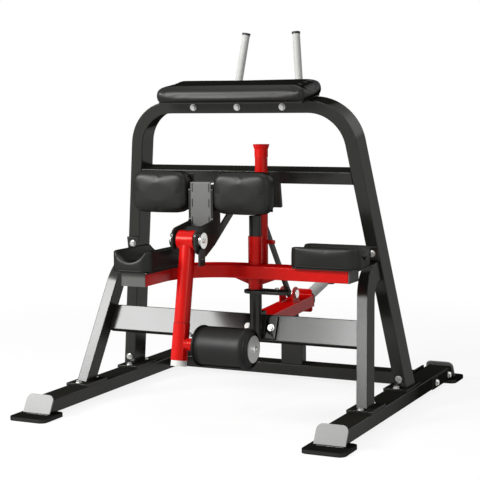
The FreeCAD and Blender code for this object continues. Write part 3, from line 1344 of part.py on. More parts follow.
def make_clevis():
    """Two ears on the arm that hold the link's lower pin."""
    ears = []
    inner = size.clevis_gap / 2
    for label, x in (("Left", size.arm_place - inner - size.clevis_ear), ("Right", size.arm_place + inner)):
        low = size.weight_arm_tall / 2
        corners = [
            (size.clevis_y - size.clevis_half_width, low, 0),
            (size.clevis_y + size.clevis_half_width, low, 0),
            (size.clevis_y + size.clevis_half_width, size.clevis_z + size.clevis_top_radius,
             size.clevis_top_radius),
            (size.clevis_y - size.clevis_half_width, size.clevis_z + size.clevis_top_radius,
             size.clevis_top_radius),
        ]
        ear = padded(f"ClevisEar{label}", "YZ_Plane", rounded(corners), "clevis_ear", (x, 0, 0), WEIGHT_ARM)
        ears.append(ear)
    hole = rod("ClevisHole", "clevis_pin_radius", "4 * clevis_gap", "x",
               (size.arm_place - 2 * size.clevis_gap, size.clevis_y, size.clevis_z), WEIGHT_ARM)
    return cut("ClevisEars", group("ClevisEarPair", *ears), hole)


clevis_inner = size.clevis_gap / 2 + size.clevis_ear
node("clevis_pin", join(
    "ClevisPin",
    rod("ClevisPinBar", "clevis_pin_radius", "clevis_gap + 2 * clevis_ear", "x",
        (size.arm_place - clevis_inner, size.clevis_y, size.clevis_z), WEIGHT_ARM),
    rod("ClevisCapRight", "clevis_cap_radius", "clevis_cap_thickness", "x",
        (size.arm_place + clevis_inner, size.clevis_y, size.clevis_z), WEIGHT_ARM),
    rod("ClevisCapLeft", "clevis_cap_radius", "clevis_cap_thickness", "x",
        (size.arm_place - clevis_inner - size.clevis_cap_thickness, size.clevis_y,
         size.clevis_z), WEIGHT_ARM),
))


def make_weight_plate():
    """The upright plate on the arm's rear end, with round corners."""
    half = size.weight_plate_width / 2
    tall = size.weight_plate_tall / 2
    corner = size.weight_plate_corner
    edges = rounded([(-half, -tall, corner), (half, -tall, corner), (half, tall, corner),
                     (-half, tall, corner)])
    return padded("WeightEndPlate", "XZ_Plane", edges, "weight_plate_thickness",
                  (size.arm_place, weight_arm_length, 0), WEIGHT_ARM)


node("weight_arm", join("WeightArm", make_weight_arm(), make_clevis(), make_weight_plate()))

horn_start = WEIGHT_ARM.multVec(Vector(0, weight_arm_length + size.weight_plate_thickness, 0))
HORN = FreeCAD.Placement(horn_start, FreeCAD.Rotation(X_AXIS, size.horn_tilt))
horn_reach = size.horn_end - size.feet_setback - horn_start.y - size.horn_cap_radius * sine(size.horn_tilt)
horn_long = horn_reach / cosine(size.horn_tilt) - size.horn_cap_thickness
horn_back = box("InFrontOfHorn", ("8 * horn_radius", "8 * horn_radius", "8 * horn_radius"),
                (size.arm_place - 4 * size.horn_radius,
                 weight_arm_length + size.weight_plate_thickness - 8 * size.horn_radius,
                 -4 * size.horn_radius), WEIGHT_ARM)


def horn_tube(name, radius_name, start, length):
    """A round bar along the horn's axis."""
    item = doc.addObject("Part::Cylinder", name)
    bind(item, Radius=radius_name)
    item.Height = length
    item.Placement = HORN * FreeCAD.Placement(Vector(size.arm_place, start, 0), ALONG["y"])
    return item


root_long = size.stopper_gap + size.stopper_thickness
node("weight_horn", cut(
    "WeightHorn",
    join("HornBar", horn_tube("HornOuter", "horn_radius", -size.overrun, horn_long + size.overrun),
         horn_tube("HornRoot", "horn_root_radius", -size.overrun, root_long + size.overrun)),
    horn_tube("HornHollow", "horn_radius - horn_wall", -2 * size.overrun, horn_long + 4 * size.overrun),
    horn_back,
))
node("horn_stopper", cut(
    "HornStopper",
    horn_tube("StopperDisc", "stopper_radius", size.stopper_gap, size.stopper_thickness),
    horn_tube("StopperHole", "horn_root_radius", size.stopper_gap - size.overrun,
              size.stopper_thickness + 2 * size.overrun),
))
node("horn_cap", horn_tube("HornCap", "horn_cap_radius", horn_long, size.horn_cap_thickness))


def make_arm_brackets():
    """Two plates behind the front crossbeam that carry the weight arm's shaft."""
    plates = []
    seat = size.beam_setback + size.beam_depth
    pivot_in_front = FRONT.inverse().multVec(Vector(0, size.arm_pivot_y - size.feet_setback,
                                                    size.arm_pivot_z))
    for label, x in (
        ("Left", arm_left - size.bracket_gap - size.bracket_thickness),
        ("Right", arm_left + size.weight_arm_width + size.bracket_gap),
    ):
        bar = doc.addObject("Part::Box", f"ArmBracket{label}Bar")
        bind(bar, Length="bracket_thickness", Height="2 * bracket_radius")
        bar.Width = pivot_in_front.y - seat
        bar.Placement = FRONT * FreeCAD.Placement(Vector(x, seat, pivot_in_front.z - size.bracket_radius),
                                                  FreeCAD.Rotation())
        end = rod(f"ArmBracket{label}End", "bracket_radius", "bracket_thickness", "x",
                  (x, size.arm_pivot_y, size.arm_pivot_z))
        plates.append(join(f"ArmBracket{label}Weld", bar, end))
    shaft = rod("ArmPivotShaft", "shaft_radius", "weight_arm_width + 2 * bracket_gap", "x",
                (arm_left - size.bracket_gap, size.arm_pivot_y, size.arm_pivot_z))
    return join("ArmBrackets", shaft, *plates)


node("arm_brackets", make_arm_brackets())


# Bolts of the frame

def make_frame_bolts():
    """Every bolt head that shows on the fixed frame, right-hand ones mirrored to the left."""
    rights = []
    flange_top = rail_top + size.flange_thickness
    inset = size.flange_bolt_inset
    for name, y in (
        ("ArchFront", size.arch_flange_front + inset),
        ("ArchRear", size.arch_flange_front + size.arch_flange_length - inset),
        ("LegFront", size.leg_flange_front + inset),
        ("LegRear", size.leg_flange_front + size.leg_flange_length - inset),
    ):
        rights.append(bolt(f"Bolt{name}", MACHINE, (size.rail_place, y, flange_top)))
    outer_x = size.rail_place + size.rail_width / 2 + size.outer_flange_thickness
    mid_z = size.foot_height + size.outer_flange_height / 2
    for name, y in (
        ("OuterFront", size.outer_flange_front + size.outer_bolt_inset),
        ("OuterRear", size.outer_flange_front + size.outer_flange_length - size.outer_bolt_inset),
    ):
        rights.append(bolt(f"Bolt{name}", MACHINE, (outer_x, y, mid_z), "x"))
    tab_x = size.tab_inner + size.tab_width / 2
    low_x = arch_inner_x(size.arch_bolt_height) + size.arch_width / 2 / cosine(size.arch_splay)
    rights.append(bolt("BoltArchLow", ARCH, (low_x, 0, size.arch_bolt_height), "y", -1))
    rights.append(bolt("BoltTab", ARCH, (tab_x, -size.tab_thickness, tab_low + size.tab_bolt_low), "y", -1))
    bolts = rights + [mirrored(item.Name + "Left", item) for item in rights]
    for name, shift in (("Left", -size.mount_bolt_place), ("Right", size.mount_bolt_place)):
        bolts.append(bolt(f"BoltMount{name}", FRONT,
                          (size.post_x + shift, size.beam_setback - size.mount_thickness,
                           size.mount_low + size.mount_bolt_low), "y", -1))
    pad_bolt_height = size.arch_bend_height + size.arch_bend_radius
    for name, x in (("Left", -size.pad_bolt_place), ("Middle", 0), ("Right", size.pad_bolt_place)):
        bolts.append(bolt(f"BoltPad{name}", ARCH, (x, 0, pad_bolt_height), "y", -1))
    return group("FrameBolts", *bolts)


node("frame_bolts", make_frame_bolts())

doc.recompute()

# Nothing is written unless every object is sound.
for item in doc.Objects:
    if "Invalid" in item.State or "Error" in item.State:
        raise RuntimeError(f"{item.Name} did not build: {item.State}")
for item in nodes:
    if item.Shape.isNull() or not item.Shape.isValid() or not item.Shape.Solids:
        raise RuntimeError(f"{item.Label} is not a sound solid")

os.makedirs("parts", exist_ok=True)
for item in nodes:
    item.Shape.exportStep(f"parts/{item.Label}.step")
    print(f"{item.Label}: {len(item.Shape.Solids)} solids, {item.Shape.Volume / 1000:.1f} cm3")
print(f"{len(nodes)} nodes")
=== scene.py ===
"""Looks of a standing hamstring machine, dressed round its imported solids.

Every length is in metres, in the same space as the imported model: X to the machine's right, Y to its rear
and Z up, with the floor at zero.
"""
from __future__ import annotations

import json
import logging
import math
from dataclasses import dataclass, field
from enum import Enum
from typing import ClassVar

import bpy
from mathutils import Matrix, Vector
from mathutils.bvhtree import BVHTree

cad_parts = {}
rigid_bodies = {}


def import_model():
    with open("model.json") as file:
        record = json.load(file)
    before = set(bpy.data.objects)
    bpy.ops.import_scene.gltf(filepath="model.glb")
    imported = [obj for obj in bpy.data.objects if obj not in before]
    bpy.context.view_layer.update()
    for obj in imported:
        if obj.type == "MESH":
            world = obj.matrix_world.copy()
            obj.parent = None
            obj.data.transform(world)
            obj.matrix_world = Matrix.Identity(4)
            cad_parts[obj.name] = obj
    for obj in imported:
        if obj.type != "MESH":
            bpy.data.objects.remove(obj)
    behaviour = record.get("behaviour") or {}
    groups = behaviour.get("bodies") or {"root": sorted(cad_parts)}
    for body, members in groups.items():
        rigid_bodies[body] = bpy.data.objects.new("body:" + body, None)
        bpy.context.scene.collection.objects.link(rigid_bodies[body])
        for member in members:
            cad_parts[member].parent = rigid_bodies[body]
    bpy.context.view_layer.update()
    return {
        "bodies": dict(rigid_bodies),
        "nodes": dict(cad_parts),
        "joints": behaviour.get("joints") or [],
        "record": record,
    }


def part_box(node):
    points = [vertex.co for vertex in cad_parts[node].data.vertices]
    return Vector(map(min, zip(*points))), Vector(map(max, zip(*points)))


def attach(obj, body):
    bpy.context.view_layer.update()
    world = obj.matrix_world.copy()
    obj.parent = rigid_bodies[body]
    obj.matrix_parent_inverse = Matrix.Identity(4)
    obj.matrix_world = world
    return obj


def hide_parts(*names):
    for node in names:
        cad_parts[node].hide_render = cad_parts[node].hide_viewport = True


log = logging.getLogger("hamstring_machine")
Colour = tuple[float, float, float]
Point = tuple[float, float, float]
Wire = tuple[bpy.types.Node, str | int, bpy.types.Node, str | int]
Values = dict[str | int, float | tuple[float, ...]]
OpenGroup = tuple[bpy.types.NodeTree, bpy.types.Node, bpy.types.Node]

ARCH_LEAN = math.radians(9.48)
LEVER_LEAN = math.radians(11)
LEVER_PIVOT = Vector((-0.026, -0.522, 0.700))
QUARTER_TURN = math.pi / 2

TOUCHING = 1e-5
NEARLY_TOUCHING = 1e-4
ALONG_Z = 0.99
SHARP_DEGREES = 30
BOLT_DEGREES = 25
RING_DEGREES = 60
BOLT_SIDES = 6
SMALL_EDGE_FACES = 2


class Relief(Enum):
    """The fine relief that a finish has, each made by a node group of its own."""

    POWDER = "powder_relief"
    VINYL = "vinyl_relief"
    FOAM = "foam_relief"
    BRUSHED = "brushed_relief"


class Edges(Enum):
    """Which edges of a mesh are rounded."""

    UPRIGHT = "those along Z"
    TOP = "the outline of its top"
    SHARP = "all sharp ones"


def add_socket(group: bpy.types.NodeTree, name: str, kind: str, outward: bool = False,
               value: float | tuple[float, ...] | None = None) -> None:
    """Give a node group one socket.

    Args:
        group: The group to add to.
        name: The socket's name.
        kind: Its type, such as NodeSocketFloat.
        outward: True for an output.
        value: What an input holds when nothing is linked.
    """
    side = "OUTPUT" if outward else "INPUT"
    socket = group.interface.new_socket(name=name, in_out=side, socket_type=kind)
    if value is not None:
        socket.default_value = value


def add_node(tree: bpy.types.NodeTree, kind: str, values: Values | None = None) -> bpy.types.Node:
    """Add a node and set what its unlinked inputs hold.

    Args:
        tree: The nodes to add to.
        kind: The node's type, without the word ShaderNode before it.
        values: Values by the input's name or number.

    Returns:
        The new node.
    """
    node = tree.nodes.new(f"ShaderNode{kind}")
    for key, value in (values or {}).items():
        node.inputs[key].default_value = value
    return node


def add_math(tree: bpy.types.NodeTree, operation: str, values: Values | None = None,
             kind: str = "Math") -> bpy.types.Node:
    """Add a node that reckons with numbers or vectors.

    Args:
        tree: The nodes to add to.
        operation: What it does, such as MULTIPLY.
        values: Values by the input's number.
        kind: Math or VectorMath.

    Returns:
        The new node.
    """
    node = add_node(tree, kind, values)
    node.operation = operation
    return node


def join(tree: bpy.types.NodeTree, wires: list[Wire]) -> None:
    """Link nodes.

    Args:
        tree: Their node tree.
        wires: For each link a node, its output, the next node and its input.
    """
    for source, output, goal, inlet in wires:
        tree.links.new(source.outputs[output], goal.inputs[inlet])


class GroupLibrary:
    """Node groups that the finishes share, each built once."""

    TONE = "tone_shift"
    NEUTRAL_GREY = (0.5, 0.5, 0.5, 1.0)

    def __init__(self) -> None:
        """Start with no groups."""
        self.made: dict[str, bpy.types.NodeTree] = {}
        self.builders = {
            Relief.POWDER.value: self.build_powder,
            Relief.VINYL.value: self.build_vinyl,
            Relief.FOAM.value: self.build_foam,
            Relief.BRUSHED.value: self.build_brushed,
            self.TONE: self.build_tone,
        }

    def fetch(self, name: str) -> bpy.types.NodeTree:
        """Find a group, and build it if it is new.

        Args:
            name: A relief's value, or TONE.

        Returns:
            The node group.
        """
        if name not in self.made:
            self.made[name] = self.builders[name](name)
        return self.made[name]

    @staticmethod
    def start(name: str, relief: bool = True) -> OpenGroup:
        """Open a group that takes coordinates and a scale.

        Args:
            name: The group's name.
            relief: True for a group that gives a height.

        Returns:
            The group, its input node and its output node.
        """
        group = bpy.data.node_groups.new(name, "ShaderNodeTree")
        add_socket(group, "Coordinates", "NodeSocketVector")
        add_socket(group, "Scale", "NodeSocketFloat", value=100.0)
        if relief:
            add_socket(group, "Height", "NodeSocketFloat", outward=True)
        return group, group.nodes.new("NodeGroupInput"), group.nodes.new("NodeGroupOutput")

    def build_powder(self, name: str) -> bpy.types.NodeTree:
        """Orange peel of a sprayed coat: low round bumps with a finer tooth on them.

        Args:
            name: The group's name.

        Returns:
            The node group.
        """
        times_finer = 3.7
        fine_share = 0.35
        group, inward, outward = self.start(name)
        broad = add_node(group, "TexNoise", {"Detail": 2.0})
        fine = add_node(group, "TexNoise", {"Detail": 1.0})
        faster = add_math(group, "MULTIPLY", {1: times_finer})
        blend = add_math(group, "MULTIPLY_ADD", {1: fine_share})
        join(group, [
            (inward, "Coordinates", broad, "Vector"),
            (inward, "Coordinates", fine, "Vector"),
            (inward, "Scale", broad, "Scale"),
            (inward, "Scale", faster, 0),
            (faster, 0, fine, "Scale"),
            (fine, "Fac", blend, 0),
            (broad, "Fac", blend, 2),
            (blend, 0, outward, "Height"),
        ])
        return group

    def build_vinyl(self, name: str) -> bpy.types.NodeTree:
        """Pebbled grain of upholstery vinyl: soft cells parted by thin creases.

        Args:
            name: The group's name.

        Returns:
            The node group.
        """
        stir_scale = 60.0
        stir_reach = 0.002
        crease_width = 0.22
        group, inward, outward = self.start(name)
        stir = add_node(group, "TexNoise", {"Scale": stir_scale})
        warp = add_math(group, "MULTIPLY_ADD", {1: (stir_reach, stir_reach, stir_reach)}, kind="VectorMath")
        cells = add_node(group, "TexVoronoi")
        cells.feature = "DISTANCE_TO_EDGE"
        level = add_node(group, "MapRange", {"From Max": crease_width})
        join(group, [
            (inward, "Coordinates", stir, "Vector"),
            (stir, "Color", warp, 0),
            (inward, "Coordinates", warp, 2),
            (warp, 0, cells, "Vector"),
            (inward, "Scale", cells, "Scale"),
            (cells, "Distance", level, "Value"),
            (level, "Result", outward, "Height"),
        ])
        return group

    def build_foam(self, name: str) -> bpy.types.NodeTree:
        """Skin of moulded foam: small open pores.

        Args:
            name: The group's name.

        Returns:
            The node group.
        """
        pore_width = 0.45
        cloud_scale = 90.0
        cloud_share = 0.5
        group, inward, outward = self.start(name)
        pores = add_node(group, "TexVoronoi")
        depth = add_node(group, "MapRange", {"From Max": pore_width})
        cloud = add_node(group, "TexNoise", {"Scale": cloud_scale})
        blend = add_math(group, "MULTIPLY_ADD", {1: cloud_share})
        join(group, [
            (inward, "Coordinates", pores, "Vector"),
            (inward, "Coordinates", cloud, "Vector"),
            (inward, "Scale", pores, "Scale"),
            (pores, "Distance", depth, "Value"),
            (cloud, "Fac", blend, 0),
            (depth, "Result", blend, 2),
            (blend, 0, outward, "Height"),
        ])
        return group

    def build_brushed(self, name: str) -> bpy.types.NodeTree:
        """Fine drawn lines of a turned or polished metal.

        Args:
            name: The group's name.

        Returns:
            The node group.
        """
        line_squeeze = (1.0, 1.0, 0.08)
        group, inward, outward = self.start(name)
        stretch = add_math(group, "MULTIPLY", {1: line_squeeze}, kind="VectorMath")
        lines = add_node(group, "TexNoise", {"Detail": 3.0})
        join(group, [
            (inward, "Coordinates", stretch, 0),
            (stretch, 0, lines, "Vector"),
            (inward, "Scale", lines, "Scale"),
            (lines, "Fac", outward, "Height"),
        ])
        return group

    def build_tone(self, name: str) -> bpy.types.NodeTree:
        """Slow drift of tone and gloss over a surface, as spraying and handling leave it.

        Args:
            name: The group's name.

        Returns:
            The node group, with Colour and Roughness outputs.
        """
        noise_mean = 0.5
        group, inward, outward = self.start(name, relief=False)
        add_socket(group, "Colour", "NodeSocketColor", value=self.NEUTRAL_GREY)
        add_socket(group, "Roughness", "NodeSocketFloat", value=0.5)
        add_socket(group, "Amount", "NodeSocketFloat", value=0.1)
        add_socket(group, "Colour", "NodeSocketColor", outward=True)
        add_socket(group, "Roughness", "NodeSocketFloat", outward=True)
        drift = add_node(group, "TexNoise", {"Detail": 5.0})
        centred = add_math(group, "SUBTRACT", {1: noise_mean})
        swing = add_math(group, "MULTIPLY")
        factor = add_math(group, "ADD", {1: 1.0})
        tint = add_math(group, "SCALE", kind="VectorMath")
        gloss = add_math(group, "MULTIPLY")
        gloss.use_clamp = True
        join(group, [
            (inward, "Coordinates", drift, "Vector"),
            (inward, "Scale", drift, "Scale"),
            (drift, "Fac", centred, 0),
            (centred, 0, swing, 0),
            (inward, "Amount", swing, 1),
            (swing, 0, factor, 0),
            (inward, "Colour", tint, 0),
            (factor, 0, tint, "Scale"),
            (tint, 0, outward, "Colour"),
            (inward, "Roughness", gloss, 0),
            (factor, 0, gloss, 1),
            (gloss, 0, outward, "Roughness"),
        ])
        return group


@dataclass(frozen=True)
class Finish:
    """One finish of the machine, and how its material is built."""

    name: str
    slot: str
    colour: Colour
    roughness: float
    relief: Relief
    relief_scale: float
    relief_depth: float
    metallic: float = 0.0
    specular: float = 0.5
    specular_tint: Colour = (1.0, 1.0, 1.0)
    gloss_start: float = 0.18
    gloss_end: float = 0.70
    tone_scale: float = 9.0
    tone_amount: float = 0.25

    def build(self, library: GroupLibrary) -> bpy.types.Material:
        """Make the material.

        Args:
            library: Where the shared node groups come from.

        Returns:
            The finished material.
        """
        material = bpy.data.materials.new(self.name)
        material.use_nodes = True
        tree = material.node_tree
        shader = tree.nodes["Principled BSDF"]
        shader.inputs["Metallic"].default_value = self.metallic
        shader.inputs["Specular Tint"].default_value = (*self.specular_tint, 1.0)
        place = add_node(tree, "TexCoord")
        tone = tree.nodes.new("ShaderNodeGroup")
        tone.node_tree = library.fetch(library.TONE)
        tone.inputs["Scale"].default_value = self.tone_scale
        tone.inputs["Colour"].default_value = (*self.colour, 1.0)
        tone.inputs["Roughness"].default_value = self.roughness
        tone.inputs["Amount"].default_value = self.tone_amount
        relief = tree.nodes.new("ShaderNodeGroup")
        relief.node_tree = library.fetch(self.relief.value)
        relief.inputs["Scale"].default_value = self.relief_scale
        bump = add_node(tree, "Bump", {"Strength": 1.0, "Distance": self.relief_depth})
        join(tree, [
            (place, "Object", tone, "Coordinates"),
            (place, "Object", relief, "Coordinates"),
            (tone, "Colour", shader, "Base Color"),
            (tone, "Roughness", shader, "Roughness"),
            (relief, "Height", bump, "Height"),
            (bump, "Normal", shader, "Normal"),
        ])
        if self.metallic == 0:
            self.add_gloss(tree, shader)
        return material

    def add_gloss(self, tree: bpy.types.NodeTree, shader: bpy.types.Node) -> None:
        """Let the gloss of a coat die away where it is seen edge on.

        Args:
            tree: The material's nodes.
            shader: Its Principled shader.
        """
        edge = add_node(tree, "LayerWeight", {"Blend": 0.5})
        level = add_node(tree, "MapRange", {"From Min": self.gloss_start, "From Max": self.gloss_end,
                                            "To Min": self.specular, "To Max": 0.0})
        join(tree, [
            (edge, "Facing", level, "Value"),
            (level, "Result", shader, "Specular IOR Level"),
        ])


FRAME_COAT = Finish("charcoal_powder_coat", "frame_coat", (0.0140, 0.0138, 0.0115), roughness=0.20,
                    relief=Relief.POWDER, relief_scale=420.0, relief_depth=0.00003, specular=0.27)
END_COAT = Finish("silver_powder_coat", "frame_coat", (0.205, 0.205, 0.20), roughness=0.5,
                  relief=Relief.POWDER, relief_scale=420.0, relief_depth=0.00004)
# Painted reflection: the thigh cover has the frame's charcoal coat, with its colour lightened to paint in
# the key lamp's reflection.
COVER_COAT_PAINTED_REFLECTION = Finish("charcoal_coat_painted_reflection", "frame_coat", (0.085, 0.085, 0.083), roughness=0.36,
                    relief=Relief.POWDER, relief_scale=420.0, relief_depth=0.00003)
RED_COAT = Finish("red_gloss_coat", "red_coat", (0.42, 0.0030, 0.0026), roughness=0.24,
                  relief=Relief.POWDER, relief_scale=300.0, relief_depth=0.00002,
                  specular_tint=(1.0, 0.30, 0.25), tone_amount=0.10)
RED_GRIP = Finish("red_moulded_grip", "red_grip", (0.50, 0.005, 0.004), roughness=0.42,
                  relief=Relief.POWDER, relief_scale=600.0, relief_depth=0.00004,
                  specular=0.3, specular_tint=(1.0, 0.35, 0.30), tone_amount=0.15)
CHROME = Finish("polished_chrome", "chrome", (0.66, 0.66, 0.64), roughness=0.10,
                relief=Relief.BRUSHED, relief_scale=500.0, relief_depth=0.00001,
                metallic=1.0, tone_amount=0.2)
ZINC = Finish("bright_zinc", "zinc_steel", (0.56, 0.56, 0.54), roughness=0.38,
              relief=Relief.BRUSHED, relief_scale=700.0, relief_depth=0.00001,
              metallic=1.0, tone_amount=0.2)
DULL_STEEL = Finish("drawn_steel_tube", "zinc_steel", (0.46, 0.46, 0.445), roughness=0.50,
                    relief=Relief.BRUSHED, relief_scale=700.0, relief_depth=0.00001,
                    specular=0.15, tone_amount=0.1)
VINYL = Finish("black_vinyl", "upholstery", (0.0075, 0.0075, 0.0066), roughness=0.38,
               relief=Relief.VINYL, relief_scale=650.0, relief_depth=0.00002, specular=0.20, tone_amount=0.2)
FOAM = Finish("black_foam", "foam", (0.0070, 0.0070, 0.0065), roughness=0.46,
              relief=Relief.FOAM, relief_scale=700.0, relief_depth=0.00005,
              specular=0.22, tone_amount=0.3, tone_scale=20.0)
RUBBER = Finish("black_rubber", "rubber", (0.008, 0.008, 0.0075), roughness=0.6,
                relief=Relief.POWDER, relief_scale=500.0, relief_depth=0.00006, specular=0.2)
END_CAP = Finish("pale_foot_cap", "rubber", (0.50, 0.50, 0.48), roughness=0.35,
                 relief=Relief.POWDER, relief_scale=500.0, relief_depth=0.00004)
PLASTIC = Finish("black_plastic", "plastic", (0.010, 0.010, 0.0095), roughness=0.4,
                 relief=Relief.POWDER, relief_scale=700.0, relief_depth=0.00004, specular=0.25)
GREY_PLASTIC = Finish("grey_end_cap", "plastic", (0.075, 0.075, 0.070), roughness=0.42,
                      relief=Relief.POWDER, relief_scale=700.0, relief_depth=0.00004, specular=0.25)


def deselect() -> None:
    """Leave nothing selected."""
    bpy.ops.object.select_all(action="DESELECT")


def make_active(piece: bpy.types.Object) -> None:
    """Select one piece alone and make it active.

    Args:
        piece: The piece to work on.
    """
    deselect()
    piece.select_set(True)
    bpy.context.view_layer.objects.active = piece


def apply_place(piece: bpy.types.Object) -> None:
    """Write a piece's place, turn and scale into its mesh.

    Args:
        piece: The piece, left at the origin.
    """
    make_active(piece)
    bpy.ops.object.transform_apply(location=True, rotation=True, scale=True)


def apply_modifiers(piece: bpy.types.Object) -> None:
    """Apply every modifier on a piece, in order.

    Args:
        piece: The piece to finish.
    """
    make_active(piece)
    for name in [modifier.name for modifier in piece.modifiers]:
        bpy.ops.object.modifier_apply(modifier=name)


def put_in_place(piece: bpy.types.Object, turn: Matrix) -> None:
    """Carry a mesh made at the origin to its place, in its vertices.

    Args:
        piece: The piece.
        turn: Where it goes.
    """
    piece.data.transform(turn)
    piece.data.update()


def make_block(name: str, length: float, width: float, height: float) -> bpy.types.Object:
    """A block that stands on the origin.

    Args:
        name: The piece's name.
        length: Its size along X.
        width: Its size along Y.
        height: Its size along Z.

    Returns:
        The block, its place in its mesh.
    """
    deselect()
    bpy.ops.mesh.primitive_cube_add(size=1, location=(0, 0, height / 2), scale=(length, width, height))
    block = bpy.context.active_object
    block.name = name
    apply_place(block)
    return block


def bevel_edges(piece: bpy.types.Object, amount: float, segments: int, edges: Edges = Edges.SHARP) -> None:
    """Round edges of a mesh in edit mode.

    Args:
        piece: The mesh to round.
        amount: The round's size.
        segments: Faces across it.
        edges: Which edges are rounded.
    """
    make_active(piece)
    bpy.ops.object.mode_set(mode="EDIT")
    bpy.ops.mesh.select_mode(type="EDGE")
    bpy.ops.mesh.select_all(action="DESELECT")
    if edges is Edges.SHARP:
        bpy.ops.mesh.edges_select_sharp(sharpness=math.radians(SHARP_DEGREES))
    bpy.ops.object.mode_set(mode="OBJECT")
    if edges is not Edges.SHARP:
        vertices = piece.data.vertices
        top = max(vertex.co.z for vertex in vertices)
        for edge in piece.data.edges:
            first, second = (vertices[index].co for index in edge.vertices)
            along_z = abs((first - second).normalized().z) > ALONG_Z
            at_top = min(first.z, second.z) > top - TOUCHING
            edge.select = along_z if edges is Edges.UPRIGHT else at_top
    bpy.ops.object.mode_set(mode="EDIT")
    if edges is Edges.TOP:
        bpy.ops.mesh.region_to_loop()
    bpy.ops.mesh.bevel(offset=amount, segments=segments, affect="EDGES")
    bpy.ops.object.mode_set(mode="OBJECT")


def shade_smooth(piece: bpy.types.Object) -> None:
    """Shade every face of a piece smooth.

    Args:
        piece: The piece to shade.
    """
    piece.data.polygons.foreach_set("use_smooth", [True] * len(piece.data.polygons))


def smooth_by_angle(piece: bpy.types.Object, degrees: float) -> None:
    """Shade a piece smooth, with its sharp edges kept.

    Args:
        piece: The piece to shade.
        degrees: Edges sharper than this stay sharp.
    """
    make_active(piece)
    bpy.ops.object.shade_smooth_by_angle(angle=math.radians(degrees))


def subdivide(piece: bpy.types.Object) -> None:
    """Give a piece finer faces, and apply whatever modifiers it has.

    Args:
        piece: The piece to refine.
    """
    finer = piece.modifiers.new("Finer", "SUBSURF")
    finer.levels = 1
    finer.render_levels = 1
    apply_modifiers(piece)


def make_ring(name: str, radius: float, thickness: float, steps: tuple[int, int],
              turn: Matrix) -> bpy.types.Object:
    """A thin round ring, its axis along Z before it is turned.

    Args:
        name: The piece's name.
        radius: Its middle line's radius.
        thickness: Half its own thickness.
        steps: Faces round it and round its section.
        turn: Where it goes.

    Returns:
        The ring.
    """
    around, across = steps
    deselect()
    bpy.ops.mesh.primitive_torus_add(major_radius=radius, minor_radius=thickness, major_segments=around,
                                     minor_segments=across, location=(0, 0, 0))
    ring = bpy.context.active_object
    ring.name = name
    smooth_by_angle(ring, RING_DEGREES)
    put_in_place(ring, turn)
    return ring


def make_bolt_head(name: str, radius: float, height: float, edge: float, turn: Matrix) -> bpy.types.Object:
    """A six-sided bolt head that stands on the origin before it is turned.

    Args:
        name: The piece's name.
        radius: Half its size across corners.
        height: How far it stands out.
        edge: The round of its edges.
        turn: Where it goes.

    Returns:
        The bolt head.
    """
    deselect()
    bpy.ops.mesh.primitive_cylinder_add(vertices=BOLT_SIDES, radius=radius, depth=height,
                                        location=(0, 0, height / 2))
    head = bpy.context.active_object
    head.name = name
    apply_place(head)
    bevel_edges(head, edge, SMALL_EDGE_FACES)
    smooth_by_angle(head, BOLT_DEGREES)
    put_in_place(head, turn)
    return head


def make_outline(length: float, width: float, corner: float, height: float, steps: int = 8) -> list[Vector]:
    """Points of a rounded rectangle at a height, centred on the Z axis.

    Args:
        length: Its size along X.
        width: Its size along Y.
        corner: Its corners' radius.
        height: Where it lies on Z.
        steps: Points in each corner.

    Returns:
        The points, once round.
    """
    points = []
    for quarter, (side_x, side_y) in enumerate(((1, 1), (-1, 1), (-1, -1), (1, -1))):
        centre = Vector((side_x * (length / 2 - corner), side_y * (width / 2 - corner), height))
        for step in range(steps + 1):
            angle = (quarter + step / steps) * QUARTER_TURN
            points.append(centre + Vector((math.cos(angle), math.sin(angle), 0)) * corner)
    return points


def make_tube(name: str, points: list[Vector], radius: float, closed: bool,
              fineness: int) -> bpy.types.Object:
    """A round cord or bar along points.

    Args:
        name: The piece's name.
        points: The points that it follows.
        radius: Half its thickness.
        closed: True where its end meets its start.
        fineness: How round it is.

    Returns:
        The tube as a mesh.
    """
    curve = bpy.data.curves.new(name, "CURVE")
    curve.dimensions = "3D"
    curve.bevel_depth = radius
    curve.bevel_resolution = fineness
    curve.use_fill_caps = not closed
    spline = curve.splines.new("POLY")
    spline.points.add(len(points) - 1)
    for target, point in zip(spline.points, points):
        target.co = (*point, 1.0)
    spline.use_cyclic_u = closed
    piece = bpy.data.objects.new(name, curve)
    bpy.context.scene.collection.objects.link(piece)
    make_active(piece)
    bpy.ops.object.convert(target="MESH")
    piece = bpy.context.active_object
    shade_smooth(piece)
    return piece


@dataclass
class Workshop:
    """What every sub-assembly works with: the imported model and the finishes' materials."""

    frame: dict
    library: GroupLibrary = field(default_factory=GroupLibrary)
    materials: dict[str, bpy.types.Material] = field(default_factory=dict)

    def material(self, finish: Finish) -> bpy.types.Material:
        """The material of a finish, built when it is first asked for.

        Args:
            finish: The finish.

        Returns:
            Its material.
        """
        if finish.name not in self.materials:
            self.materials[finish.name] = finish.build(self.library)
        return self.materials[finish.name]

    def dress(self, piece: bpy.types.Object, finish: Finish) -> None:
        """Give a piece one material.

        Args:
            piece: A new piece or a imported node.
            finish: Its finish.
        """
        piece.data.materials.clear()
        piece.data.materials.append(self.material(finish))

    def add(self, piece: bpy.types.Object, finish: Finish, body: str, *stands_for: str) -> None:
        """Dress a new piece and let it ride.

        Args:
            piece: The finished mesh.
            finish: Its finish.
            body: The body that it moves with.
            stands_for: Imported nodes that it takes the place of.
        """
        self.dress(piece, finish)
        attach(piece, body)
        if stands_for:
            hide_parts(*stands_for)
        log.info("%s rides on %s", piece.name, body)


